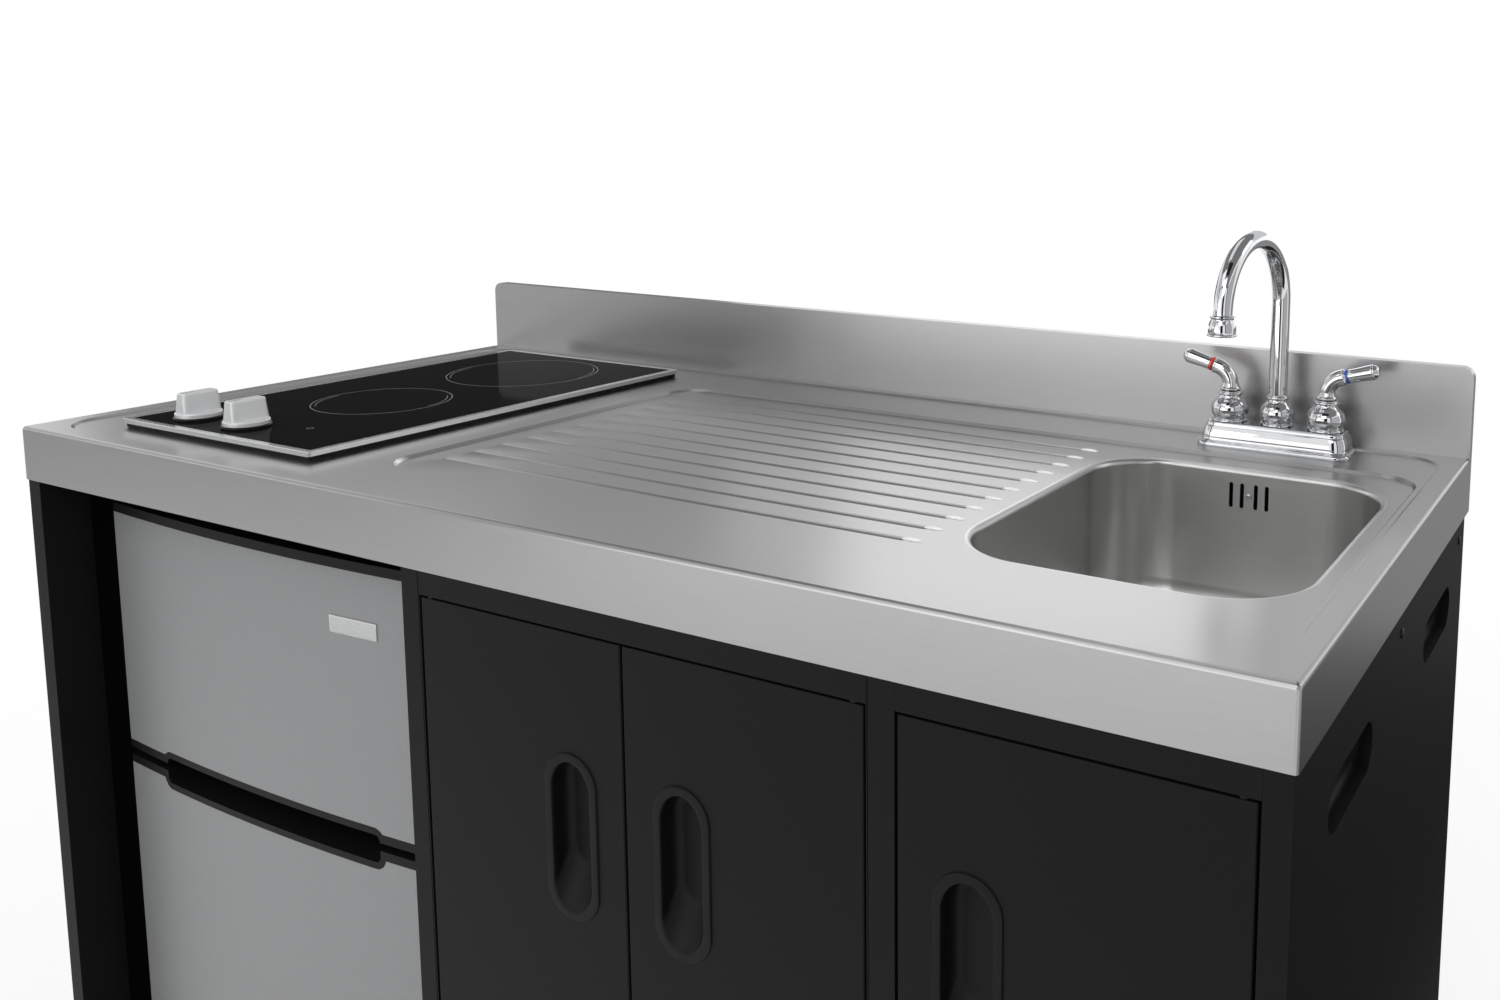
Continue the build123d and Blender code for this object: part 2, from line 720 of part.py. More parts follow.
def make_tap_base():
    """A stepped plate with rounded corners, two valve bells and a spout collar."""
    centre = Pos(bowl_x, tap_y, tap_floor)

    def layer(height, inset):
        outline = RectangleRounded(base_length - inset * 2, base_depth - inset * 2, base_corner_radius - inset)
        return centre * Pos(0, 0, height) * outline

    body = loft([layer(0, 0), layer(base_foot_height, 0)], ruled=True)
    body = body + loft([layer(base_foot_height, base_step_inset), layer(base_step_height, base_step_inset)],
                       ruled=True)
    body = body + loft([layer(base_step_height, base_step_inset), layer(base_height, base_top_inset)], ruled=True)
    for side in (-1, 1):
        body = body + bell(bowl_x + side * handle_spacing / 2, bell_radius)
    collar = bell(bowl_x, collar_radius)
    body = body + collar
    socket = post(bowl_x, tap_y, tap_floor + base_step_height, tap_floor + base_height + bell_height + overrun,
                  spout_radius + running_gap)
    body = body - socket
    for side in (-1, 1):
        body = body - post(bowl_x + side * handle_spacing / 2, tap_y,
                           tap_floor + base_height + bell_height - hub_height,
                           tap_floor + base_height + bell_height + overrun, hub_radius - lever_ring_width)
    return body


def make_tap_spout():
    """A gooseneck: up, over in a half circle towards the bowl, and down to the aerator."""
    bend = spout_reach / 2
    foot = tap_floor + base_step_height + seat_gap
    turn_z = tap_floor + spout_top - spout_radius - bend
    rise = Line((0, 0, foot), (0, 0, turn_z))
    arch_plane = Plane(origin=(0, -bend, turn_z), x_dir=(0, 1, 0), z_dir=(1, 0, 0))
    arch = arch_plane * CenterArc((0, 0), bend, 0, 180)
    tail = Line((0, -spout_reach, turn_z), (0, -spout_reach, turn_z - spout_tail))
    path = Wire([rise] + list(arch.edges()) + [tail])
    section = Pos(0, 0, foot) * (Circle(spout_radius) - Circle(spout_radius - spout_wall))
    spout = sweep(section, path=path)
    return Pos(bowl_x, tap_y, 0) * Rot(0, 0, -spout_rest_turn) * spout


def spout_mouth():
    """Where the spout's end lies at rest."""
    angle = math.radians(spout_rest_turn)
    x = bowl_x - spout_reach * math.sin(angle)
    y = tap_y - spout_reach * math.cos(angle)
    z = tap_floor + spout_top - spout_radius - spout_reach / 2 - spout_tail
    return x, y, z


def make_aerator():
    """A bell-shaped outlet that screws on the spout's end."""
    x, y, z = spout_mouth()
    socket = spout_radius + running_gap
    lip = aerator_radius - bell_foot_inset
    shell = turned([(socket, aerator_cover), (aerator_neck_radius, aerator_cover),
                    (aerator_neck_radius, aerator_cover / 2), (aerator_radius, 0),
                    (aerator_radius, bell_foot_inset - aerator_drop), (lip, -aerator_drop),
                    (aerator_bore_radius, -aerator_drop), (aerator_bore_radius, -spout_wall - running_gap),
                    (aerator_bore_radius - spout_wall, -spout_wall - running_gap),
                    (aerator_bore_radius - spout_wall, -running_gap), (socket, -running_gap)], x, y, z)
    screen = post(x, y, z - aerator_drop / 2, z - aerator_drop / 2 + spout_wall, aerator_bore_radius)
    return shell + screen


def handle_frame(side):
    """The place and heading of a handle: its hub's seat, with x outwards."""
    x = bowl_x + side * handle_spacing / 2
    z = tap_floor + base_height + bell_height + seat_gap
    heading = 0 if side > 0 else 180
    return Pos(x, tap_y, z) * Rot(0, 0, heading)


def lever_knee():
    """Where the lever's bend ends, outwards and up from the hub's seat."""
    angle = math.radians(90 - lever_rise)
    out = lever_bend_radius * (1 - math.cos(angle))
    up = hub_height / 2 + lever_bend_radius * math.sin(angle)
    return out, up


def make_handle(side):
    """A hub with a bent lever that ends in a tapered grip with a domed tip."""
    hub = Cylinder(hub_radius, hub_height, align=(Align.CENTER, Align.CENTER, Align.MIN))
    hub = fillet(hub.edges().group_by(Axis.Z)[-1], hub_height / 4)
    stem_radius = hub_radius - lever_ring_width - running_gap
    stem = Cylinder(stem_radius, hub_height, align=(Align.CENTER, Align.CENTER, Align.MIN))
    stem = Pos(0, 0, -hub_height + seat_gap) * stem
    angle = 90 - lever_rise
    bend_plane = Plane(origin=(lever_bend_radius, 0, hub_height / 2), x_dir=(1, 0, 0), z_dir=(0, -1, 0))
    bend = bend_plane * CenterArc((0, 0), lever_bend_radius, 180, -angle)
    arm = sweep(Pos(0, 0, hub_height / 2) * Circle(lever_radius), path=bend)
    out, up = lever_knee()
    along = Plane(origin=(out, 0, up), x_dir=(0, 1, 0),
                  z_dir=(math.cos(math.radians(lever_rise)), 0, math.sin(math.radians(lever_rise))))
    grip_tail = grip_length - grip_end_radius
    outline = [Line((0, 0), (lever_radius, 0)), Line((lever_radius, 0), (grip_start_radius, lever_ring_width)),
               Line((grip_start_radius, lever_ring_width), (grip_end_radius, grip_tail)),
               TangentArc((grip_end_radius, grip_tail), (grip_tip_radius, grip_length), tangent=(0, 1)),
               Line((grip_tip_radius, grip_length), (0, grip_length)), Line((0, grip_length), (0, 0))]
    grip = along * revolve(Plane.XZ * make_face(outline), axis=Axis.Z)
    lever = hub + stem + arm + grip
    return handle_frame(side) * (lever - index_seat(running_gap))


def index_seat(grow):
    """The groove for the colour ring round the lever, just past its knee."""
    out, up = lever_knee()
    along = Plane(origin=(out, 0, up), x_dir=(0, 1, 0),
                  z_dir=(math.cos(math.radians(lever_rise)), 0, math.sin(math.radians(lever_rise))))
    inner = grip_start_radius - lever_ring_width / 4
    ring = Pos(0, 0, lever_ring_width * 3 / 2) * Cylinder(lever_ring_radius + grow, lever_ring_width / 2 + grow)
    ring = ring - Pos(0, 0, lever_ring_width * 3 / 2) * Cylinder(inner, lever_ring_width)
    return along * ring


def make_index_ring(side):
    """The red or blue ring in its groove on the lever."""
    return handle_frame(side) * index_seat(0)


def make_tap_shanks():
    """Two threaded inlets below the base, each with the nut that clamps the tap to the worktop."""
    solids = []
    for side in (-1, 1):
        x = bowl_x + side * handle_spacing / 2
        shank = tube(x, tap_y, tap_floor - shank_length, tap_floor, shank_radius, shank_bore_radius)
        nut_top = field_underside
        nut = extrude(Pos(x, tap_y, nut_top - shank_nut_height) * RegularPolygon(shank_nut_radius, 6),
                      amount=shank_nut_height)
        nut = nut - post(x, tap_y, nut_top - shank_nut_height - overrun, nut_top + overrun, shank_bore_radius)
        solids.append(shank + nut)
    return Compound(solids)


# Hob

def make_hob_frame():
    """The stainless trim round the glass, with a ledge that the glass rests on."""
    bottom = field_top + hob_float
    outer = rounded_block(hob_left, hob_left + hob_width, hob_front, hob_front + hob_length, bottom, hob_top,
                          hob_frame_width / 2)
    outer = chamfer(outer.edges().group_by(Axis.Z)[-1], glass_drop)
    inner = block(hob_left + hob_frame_width, hob_left + hob_width - hob_frame_width,
                  hob_front + hob_frame_width, hob_front + hob_length - hob_frame_width, glass_bottom,
                  hob_top + overrun)
    ledge = hob_frame_width + tray_inset
    window = block(hob_left + ledge, hob_left + hob_width - ledge, hob_front + ledge,
                   hob_front + hob_length - ledge, bottom - overrun, hob_top + overrun)
    return outer - inner - window


def make_hob_glass():
    """The ceramic pane, with two round holes for the knobs' shafts."""
    edge = hob_frame_width + running_gap
    pane = block(hob_left + edge, hob_left + hob_width - edge, hob_front + edge,
                 hob_front + hob_length - edge, glass_bottom, glass_top)
    for x in (left_knob_x, right_knob_x):
        pane = pane - post(x, knob_y, glass_bottom - overrun, glass_top + overrun,
                           regulator_bush_radius + seat_gap)
    return pane


def make_hob_tray():
    """The steel pan under the glass, with a flange on the worktop and four clamps below it."""
    flange = [hob_left + tray_inset / 2, hob_left + hob_width - tray_inset / 2,
              hob_front + tray_inset / 2, hob_front + hob_length - tray_inset / 2]
    well = [hob_left + tray_inset, hob_left + hob_width - tray_inset,
            hob_front + tray_inset, hob_front + hob_length - tray_inset]
    top = field_top + hob_float
    bottom = field_top - tray_depth
    tray = block(*flange, field_top, top) + block(*well, bottom, top)
    room = [well[0] + tray_gauge, well[1] - tray_gauge, well[2] + tray_gauge, well[3] - tray_gauge]
    tray = tray - block(*room, bottom + tray_gauge, top + overrun)
    clamp_top = field_underside
    for y in (well[2] + clamp_length, well[3] - clamp_length * 2):
        for x_low in (well[0] - clamp_width, well[1]):
            tray = tray + block(x_low, x_low + clamp_width, y, y + clamp_length,
                                clamp_top - clamp_thickness, clamp_top)
    return tray


def make_element(y, radius):
    """A radiant heater: an insulated dish on the tray with a ribbon coil."""
    bottom = field_top - tray_depth + tray_gauge
    top = glass_bottom - element_glass_gap
    dish = post(hob_centre_x, y, bottom, top, radius)
    dish = dish - post(hob_centre_x, y, top - element_height, top + overrun, radius - element_wall)
    ring_pitch = (radius - element_wall) / (coil_turns + 1)
    for number in range(coil_turns):
        ring_radius = ring_pitch * (number + 1)
        floor = top - element_height
        dish = dish + tube(hob_centre_x, y, floor, floor + coil_radius * 2, ring_radius + coil_radius / 2,
                           ring_radius - coil_radius / 2)
    return dish


def make_regulator(x):
    """An energy regulator hung under the glass by its threaded bush."""
    top = glass_bottom - seat_gap
    half = regulator_width / 2
    body = block(x - half, x + half, knob_y - half, knob_y + half, top - regulator_height, top)
    bush_top = glass_top + regulator_bush_height / 2
    body = body + post(x, knob_y, top, bush_top, regulator_bush_radius)
    return body - post(x, knob_y, top - regulator_shaft_depth - shaft_end_gap, bush_top + overrun,
                       shaft_radius + running_gap)


def make_knob_shaft(x):
    """A round shaft with a flat that carries the knob."""
    low = glass_bottom - seat_gap - regulator_shaft_depth
    high = glass_top + knob_seat_gap + knob_bore_depth
    shaft = post(x, knob_y, low, high, shaft_radius)
    flat_low = glass_top + knob_seat_gap
    flat = block(x + shaft_radius - shaft_flat_depth, x + shaft_radius + overrun, knob_y - overrun,
                 knob_y + overrun, flat_low, high + overrun)
    return shaft - flat


def make_knob(x):
    """A round skirt with a tall bar grip across it."""
    low = glass_top + knob_seat_gap
    skirt = post(x, knob_y, low, low + knob_skirt_height, knob_skirt_radius)
    skirt = fillet(skirt.edges().group_by(Axis.Z)[-1], knob_edge_radius)
    base = Pos(x, knob_y, low) * RectangleRounded(knob_bar_width + knob_bar_taper * 2, knob_bar_length,
                                                  knob_edge_radius * 2)
    tip = Pos(x, knob_y, low + knob_height) * RectangleRounded(knob_bar_width, knob_bar_length - knob_bar_taper,
                                                               knob_edge_radius * 2)
    bar = loft([base, tip], ruled=True)
    bar = fillet(bar.edges().group_by(Axis.Z)[-1], knob_edge_radius)
    knob = skirt + bar
    bore = post(x, knob_y, low - overrun, low + knob_bore_depth, shaft_radius)
    flat = block(x + shaft_radius - shaft_flat_depth, x + shaft_radius + overrun, knob_y - overrun,
                 knob_y + overrun, low - overrun, low + knob_bore_depth + overrun)
    return knob - (bore - flat)


# Cabinet

def side_grip_places():
    """The middles of the two grips, front to back."""
    return (front_y + first_grip_from_front, back_y - second_grip_from_back)


def make_side_panel(side):
    """An outer skin folded round the front, back, top and bottom, with two grips pressed into it."""
    outer = cabinet_right if side > 0 else cabinet_left
    inner = outer - side * panel_thickness
    low_x = min(outer, inner)
    high_x = max(outer, inner)
    panel = block(low_x, high_x, cabinet_front, cabinet_back, pan_bottom, panel_top)
    room_low = low_x + sheet_gauge
    room_high = high_x - sheet_gauge
    room = block(room_low, room_high, cabinet_front + sheet_gauge, cabinet_back - sheet_gauge,
                 pan_bottom + sheet_gauge, panel_top - sheet_gauge)
    if side < 0:
        mouth = (room_high - sheet_gauge, inner + overrun)
    else:
        mouth = (inner - overrun, room_low + sheet_gauge)
    window = block(*mouth, cabinet_front + panel_fold_depth, cabinet_back - panel_return,
                   pan_top + panel_return, panel_top - panel_return)
    panel = panel - room - window
    middle_z = worktop_height - grip_below_worktop
    for y in side_grip_places():
        mouth_plane = Plane(origin=(outer, y, middle_z), x_dir=(0, 1, 0), z_dir=(side, 0, 0))
        pocket = stadium_on(mouth_plane, grip_opening_length + sheet_gauge * 2,
                            grip_opening_width + sheet_gauge * 2, -grip_depth - sheet_gauge)
        cavity = stadium_on(mouth_plane, grip_opening_length, grip_opening_width, -grip_depth)
        floor_edges = cavity.edges().group_by(Axis.X)[0 if side > 0 else -1]
        cavity = fillet(floor_edges, grip_floor_radius)
        ring = stadium_on(mouth_plane, grip_ring_length, grip_ring_width, -sheet_gauge - grip_ring_height)
        panel = panel + pocket + ring
        opening = stadium_on(mouth_plane, grip_opening_length, grip_opening_width, skin_gap)
        panel = panel - cavity - opening
    return panel


def make_bay_panel(x_low, x_high, seam_x):
    """A hollow divider, open at the back, with the seam between two cabinets on its front."""
    panel = block(x_low, x_high, cabinet_front, cabinet_back - sheet_gauge, pan_top, panel_top)
    room = block(x_low + sheet_gauge, x_high - sheet_gauge, cabinet_front + sheet_gauge, cabinet_back + overrun,
                 pan_top + sheet_gauge, panel_top - sheet_gauge)
    seam = block(seam_x - seam_width / 2, seam_x + seam_width / 2, cabinet_front - overrun,
                 cabinet_front + seam_depth, pan_top - overrun, panel_top + overrun)
    bowl_bottom = drainer_top - bowl_depth - bowl_notch_gap
    return panel - room - seam - bowl_hole(bowl_notch_gap, bowl_bottom, panel_top + overrun)


def make_front_rail():
    """The rail over the doors, in two lengths, with holes for the upper hinge pins."""
    rails = []
    for x_low, x_high in ((bay_panel_right, sink_panel_left), (sink_panel_right, side_panel_inner)):
        rail = block(x_low, x_high, cabinet_front, cabinet_front + door_thickness, rail_bottom, panel_top)
        room = block(x_low + sheet_gauge, x_high - sheet_gauge, cabinet_front + sheet_gauge,
                     cabinet_front + door_thickness + overrun, rail_bottom + sheet_gauge,
                     panel_top - sheet_gauge)
        rails.append(rail - room)
    rail = Compound(rails)
    for x in pin_places():
        rail = rail - post(x, pin_y, rail_bottom - overrun, rail_bottom + overrun, pin_radius + running_gap)
    return rail


def pin_places():
    """The hinge lines of the left, right and sink doors."""
    return (left_door_left + pin_from_edge, right_door_right - pin_from_edge, sink_door_right - pin_from_edge)


def make_floor_pan():
    """The folded base between the side panels, with holes for the lower hinge pins."""
    x_low = cabinet_left + panel_thickness
    x_high = side_panel_inner
    pan = block(x_low, x_high, cabinet_front, cabinet_back - sheet_gauge, pan_bottom, pan_top)
    room = block(x_low + pan_skirt_gauge, x_high - pan_skirt_gauge, cabinet_front + pan_skirt_gauge,
                 cabinet_back - sheet_gauge - pan_skirt_gauge, pan_bottom - overrun, pan_top - pan_skirt_gauge)
    pan = pan - room
    for x in pin_places():
        pan = pan - post(x, pin_y, pan_top - pan_skirt_gauge - overrun, pan_top + overrun,
                         pin_radius + running_gap)
    return pan


def make_back_panel():
    """The rear sheet behind the two-door cabinet, with a strip across the fridge bay."""
    y_low = cabinet_back - sheet_gauge
    left = cabinet_left + panel_thickness
    sheet = block(left, sink_panel_left, y_low, cabinet_back, pan_bottom, panel_top)
    return sheet - block(left - overrun, bay_panel_left, y_low - overrun, cabinet_back + overrun,
                         pan_bottom - overrun, panel_top - vent_from_top)


def make_sink_back_panel():
    """The rear sheet behind the sink cabinet, with the service opening."""
    y_low = cabinet_back - sheet_gauge
    sheet = block(sink_panel_left, side_panel_inner, y_low, cabinet_back, pan_bottom, panel_top)
    middle_x = (sink_panel_right + side_panel_inner) / 2
    hole = Plane(origin=(middle_x, y_low - overrun, service_hole_from_floor + service_hole_height / 2),
                 x_dir=(1, 0, 0), z_dir=(0, 1, 0))
    cut = extrude(hole * RectangleRounded(service_hole_width, service_hole_height, service_hole_radius),
                  amount=sheet_gauge + overrun * 2)
    return sheet - cut


def make_cabinet_shelf():
    """A folded shelf that spans the two-door cabinet."""
    y_high = cabinet_back - sheet_gauge
    y_low = front_y + shelf_setback
    shelf = block(bay_panel_right, sink_panel_left, y_low, y_high, shelf_height - shelf_skirt, shelf_height)
    room = block(bay_panel_right + sheet_gauge, sink_panel_left - sheet_gauge, y_low + sheet_gauge,
                 y_high - sheet_gauge, shelf_height - shelf_skirt - overrun, shelf_height - sheet_gauge)
    return shelf - room


def make_leveller_feet():
    """Six screw feet under the floor pan."""
    feet = []
    left = cabinet_left + panel_thickness + foot_inset
    right = side_panel_inner - foot_inset
    for x in (left, bay_panel_right, right):
        for y in (cabinet_front + foot_inset, cabinet_back - foot_inset):
            pad = post(x, y, 0, foot_pad_height, foot_radius)
            pad = chamfer(pad.edges().group_by(Axis.Z)[-1], foot_pad_height / 4)
            feet.append(pad + post(x, y, foot_pad_height / 2, pan_top - pan_skirt_gauge, foot_stem_radius))
    return Compound(feet)


# Doors

def pull_plane(x):
    """The front face of a door at the middle of its pull, facing out, with the long side upright."""
    return Plane(origin=(x, cabinet_front, pull_centre_z), x_dir=(0, 0, 1), z_dir=(0, -1, 0))


def make_door(x_low, x_high, pull_x, pin_x):
    """A folded steel pan with a lip round its back, cut for its pull and its hinge pins."""
    door = block(x_low, x_high, cabinet_front, cabinet_front + door_thickness, door_bottom, door_top)
    upright = door.edges().filter_by(Axis.Z).group_by(Axis.Y)[0]
    door = fillet(upright, door_corner_radius)
    room = block(x_low + sheet_gauge, x_high - sheet_gauge, cabinet_front + sheet_gauge,
                 cabinet_front + door_thickness - sheet_gauge, door_bottom + sheet_gauge,
                 door_top - sheet_gauge)
    window = block(x_low + door_lip, x_high - door_lip, cabinet_front + sheet_gauge,
                   cabinet_front + door_thickness + overrun, door_bottom + door_lip, door_top - door_lip)
    door = door - room - window
    hole = stadium_on(pull_plane(pull_x), pull_opening_length + pull_wall * 2 + running_gap * 2,
                      pull_opening_width + pull_wall * 2 + running_gap * 2, -sheet_gauge - overrun)
    door = door - hole
    pin_hole = post(pin_x, pin_y, door_bottom - overrun, door_top + overrun, pin_radius + running_gap)
    return door - pin_hole


def make_pull(x):
    """A moulded finger cup with a raised ring round its mouth."""
    face = pull_plane(x)
    ring = stadium_on(face, pull_ring_length, pull_ring_width, pull_ring_height)
    ring = fillet(ring.edges().group_by(Axis.Y)[0], pull_ring_height / 2)
    cup = stadium_on(face, pull_opening_length + pull_wall * 2, pull_opening_width + pull_wall * 2,
                     -pull_depth - pull_wall)
    cavity = stadium_on(face, pull_opening_length, pull_opening_width, -pull_depth)
    cavity = fillet(cavity.edges().group_by(Axis.Y)[-1], pull_floor_radius)
    mouth = stadium_on(face, pull_opening_length, pull_opening_width, pull_ring_height + overrun)
    return (ring + cup) - cavity - mouth


def make_door_pins(x):
    """An upper and a lower hinge pin, each with a washer that fills the gap beside the door."""
    washer = door_gap - seat_gap
    lower = post(x, pin_y, pan_top - pin_reach / 2, door_bottom + pin_reach, pin_radius)
    lower = lower + post(x, pin_y, door_bottom - washer, door_bottom, washer_radius)
    upper = post(x, pin_y, door_top - pin_reach, rail_bottom + pin_reach / 2, pin_radius)
    upper = upper + post(x, pin_y, door_top, door_top + washer, washer_radius)
    return Compound([lower, upper])


def make_door_catches():
    """A magnetic catch under the rail at each door's free edge."""
    catches = []
    places = ((left_door_left + twin_door_width - catch_from_free_edge),
              (right_door_right - twin_door_width + catch_from_free_edge),
              (sink_door_left + catch_from_free_edge))
    y_low = cabinet_front + door_thickness + seat_gap
    top = rail_bottom + catch_height
    for x in places:
        half = catch_width / 2
        body = block(x - half, x + half, y_low, y_low + catch_depth, rail_bottom - catch_height, top)
        catches.append(body)
    return Compound(catches)


# Fridge

def bowed_face(z_low, z_high, inset):
    """The plan of a fridge door, with its front bowed out between the sides, pushed up."""
    x_low = fridge_left + inset
    x_high = fridge_right - inset
    edge_y = fridge_face + fridge_door_bow + inset
    front = ThreePointArc((x_low, edge_y), (fridge_x, fridge_face + inset), (x_high, edge_y))
    back = Polyline((x_high, edge_y), (x_high, door_liner_front), (x_low, door_liner_front), (x_low, edge_y))
    return Pos(0, 0, z_low) * extrude(make_face([front] + list(back.edges())), amount=z_high - z_low)


def pocket_form(grow, depth):
    """The rounded outline of the pocket grip that both doors share, from in front of them to a depth
    behind their bow, grown all round."""
    low = fridge_door_top - trim_height - pocket_fall - grow
    high = freezer_door_bottom + trim_height + pocket_rise + grow
    plane = Plane(origin=(fridge_x, fridge_face + fridge_door_bow, (low + high) / 2), x_dir=(1, 0, 0),
                  z_dir=(0, 1, 0))
    outline = plane * RectangleRounded(pocket_length + grow * 2, high - low, pocket_corner_radius + grow)
    return extrude(outline, amount=depth) + extrude(outline, amount=-fridge_door_bow - overrun)


def make_fridge_skin(z_low, z_high):
    """A bowed door skin, open at the back and notched for the pocket grip."""
    skin = bowed_face(z_low, z_high, 0) - bowed_face(z_low + door_skin_gauge, z_high - door_skin_gauge,
                                                     door_skin_gauge)
    back = block(fridge_left + door_skin_gauge, fridge_right - door_skin_gauge,
                 door_liner_front - overrun, door_liner_front + overrun,
                 z_low + door_skin_gauge, z_high - door_skin_gauge)
    return skin - back - pocket_form(trim_gap_to_skin, pocket_depth + pocket_wall + trim_gap_to_skin)


def make_freezer_door():
    low = freezer_door_bottom + trim_height + trim_gap_to_skin
    high = freezer_door_top - top_trim_height
    return make_fridge_skin(low, high) - fridge_pin_hole(freezer_door_bottom, freezer_door_top)


def make_fridge_door():
    high = fridge_door_top - trim_height - trim_gap_to_skin
    return make_fridge_skin(fridge_door_bottom, high) - fridge_pin_hole(fridge_door_bottom, fridge_door_top)


def fridge_pin_hole(z_low, z_high):
    """The hinge line's bore through a door's ends."""
    return post(fridge_pin_x, fridge_pin_y, z_low - overrun, z_high + overrun, fridge_pin_radius + running_gap)


def grip_trim(z_low, z_high, reach_low, reach_high):
    """A black strip with its half of the pocket grip's border and hollow."""
    around = bowed_face(reach_low, reach_high, 0) & pocket_form(0, pocket_depth + pocket_wall)
    return bowed_face(z_low, z_high, 0) + around - pocket_form(-pocket_border, pocket_depth)


def make_freezer_trim():
    """The strip along the foot of the freezer door and the cap along its top."""
    low = freezer_door_bottom
    strip = grip_trim(low, low + trim_height, low, low + trim_height + pocket_rise)
    cap = bowed_face(freezer_door_top - top_trim_height, freezer_door_top, 0)
    bores = fridge_pin_hole(freezer_door_bottom, freezer_door_top)
    return Compound([strip - bores, cap - bores])


def make_fridge_trim():
    """The strip along the top of the fridge door."""
    high = fridge_door_top
    strip = grip_trim(high - trim_height, high, high - trim_height - pocket_fall, high)
    return strip - fridge_pin_hole(fridge_door_bottom, fridge_door_top)


def make_fridge_door_liner(z_low, z_high, bin_count):
    """The moulded inside of a fridge door: a plate, a raised dyke round it and door bins."""
    liner = block(fridge_left + door_liner_inset, fridge_right - door_liner_inset, door_liner_front,
                  fridge_door_back, z_low + door_liner_inset, z_high - door_liner_inset)
    dyke = [fridge_left + door_dyke_inset, fridge_right - door_dyke_inset, fridge_door_back,
            fridge_door_back + door_dyke_height, z_low + door_dyke_inset, z_high - door_dyke_inset]
    ring = block(*dyke)
    inner = block(dyke[0] + door_dyke_wall, dyke[1] - door_dyke_wall, dyke[2] - overrun, dyke[3] + overrun,
                  dyke[4] + door_dyke_wall, dyke[5] - door_dyke_wall)
    ring = ring - inner
    pitch = (dyke[5] - dyke[4]) / (bin_count + 1)
    for number in range(bin_count):
        floor = dyke[4] + pitch * (number + 1)
        shelf = block(dyke[0], dyke[1], dyke[2], dyke[3], floor - door_dyke_wall, floor)
        guard = block(dyke[0], dyke[1], dyke[3] - door_dyke_wall, dyke[3], floor, floor + door_bin_height)
        ring = ring + shelf + guard
    guard = block(dyke[0], dyke[1], dyke[3] - door_dyke_wall, dyke[3], dyke[4], dyke[4] + door_bin_height)
    liner = liner + ring + guard
    return liner - fridge_pin_hole(z_low, z_high)


def make_fridge_case():
    """The outer steel shell with its front frame, feet and an open machine compartment at the back."""
    shell = block(fridge_left, fridge_right, case_front, case_back, case_bottom, case_top)
    room = block(fridge_left + fridge_gauge, fridge_right - fridge_gauge, case_front + fridge_gauge,
                 case_back - fridge_gauge, case_bottom + fridge_gauge, case_top - fridge_gauge)
    shell = shell - room
    for z_low, z_high in ((freezer_tub_bottom, freezer_tub_top), (fridge_tub_bottom, fridge_tub_top)):
        shell = shell - block(tub_left, tub_right, case_front - overrun, case_front + fridge_gauge + overrun,
                              z_low, z_high)
    shell = shell - block(fridge_left + fridge_frame_width, fridge_right - fridge_frame_width,
                          case_back - fridge_gauge - overrun, case_back + overrun,
                          case_bottom + fridge_gauge, case_bottom + machine_height)
    for x in (fridge_left + fridge_foot_inset, fridge_right - fridge_foot_inset):
        for y in (case_front + fridge_foot_inset, case_back - fridge_foot_inset):
            shell = shell + post(x, y, pan_top, case_bottom + fridge_gauge / 2, fridge_foot_radius)
    return shell


def make_tub(z_low, z_high, inner_depth, step_depth, step_height):
    """A moulded inner tub behind the front frame, with an optional step over the machine compartment."""
    y_low = case_front + fridge_gauge
    y_high = y_low + inner_depth
    outer = block(tub_left, tub_right, y_low, y_high + liner_wall, z_low, z_high)
    inner = block(tub_left + liner_wall, tub_right - liner_wall, y_low - overrun, y_high,
                  z_low + liner_wall, z_high - liner_wall)
    if step_depth:
        corner = block(tub_left - overrun, tub_right + overrun, y_high + liner_wall - step_depth,
                       y_high + liner_wall + overrun, z_low - overrun, z_low + step_height)
        outer = outer - corner
        inner_corner = block(tub_left - overrun, tub_right + overrun, y_high - step_depth,
                             y_high + liner_wall + overrun, z_low - overrun, z_low + step_height + liner_wall)
        inner = inner - inner_corner
    back_edges = inner.edges().filter_by(Axis.Z).group_by(Axis.Y)[-1]
    inner = fillet(back_edges, liner_corner_radius)
    flange = block(tub_left - liner_flange, tub_right + liner_flange, y_low, y_low + liner_wall,
                   z_low - liner_flange, z_high + liner_flange)
    return (outer + flange) - inner


def shelf_levels():
    """Undersides of the fridge shelves."""
    return [fridge_tub_bottom + fridge_shelf_pitch * (number + 1) for number in range(fridge_shelf_count)]


def make_fridge_liner():
    tub = make_tub(fridge_tub_bottom, fridge_tub_top, fridge_inner_depth, machine_depth, machine_height)
    y_low = case_front + fridge_shelf_setback
    for level in shelf_levels():
        for x_low in (tub_left + liner_wall, tub_right - liner_wall - ledge_width):
            tub = tub + block(x_low, x_low + ledge_width, y_low, y_low + fridge_shelf_depth,
                              level - ledge_height, level)
    box_top = fridge_tub_top - liner_wall
    y_back = case_front + fridge_gauge + fridge_inner_depth
    tub = tub + block(fridge_x - dial_box_width / 2, fridge_x + dial_box_width / 2,
                      y_back - dial_box_depth * 2, y_back - dial_box_depth, box_top - dial_box_height, box_top)
    return tub - post(fridge_x, dial_y(), dial_seat() - overrun, dial_seat() + dial_stem_reach + seat_gap,
                      dial_stem_radius + running_gap)


def dial_y():
    """The thermostat dial's axis, front to back."""
    return case_front + fridge_gauge + fridge_inner_depth - dial_box_depth * 3 / 2


def dial_seat():
    """The underside of the thermostat box."""
    return fridge_tub_top - liner_wall - dial_box_height


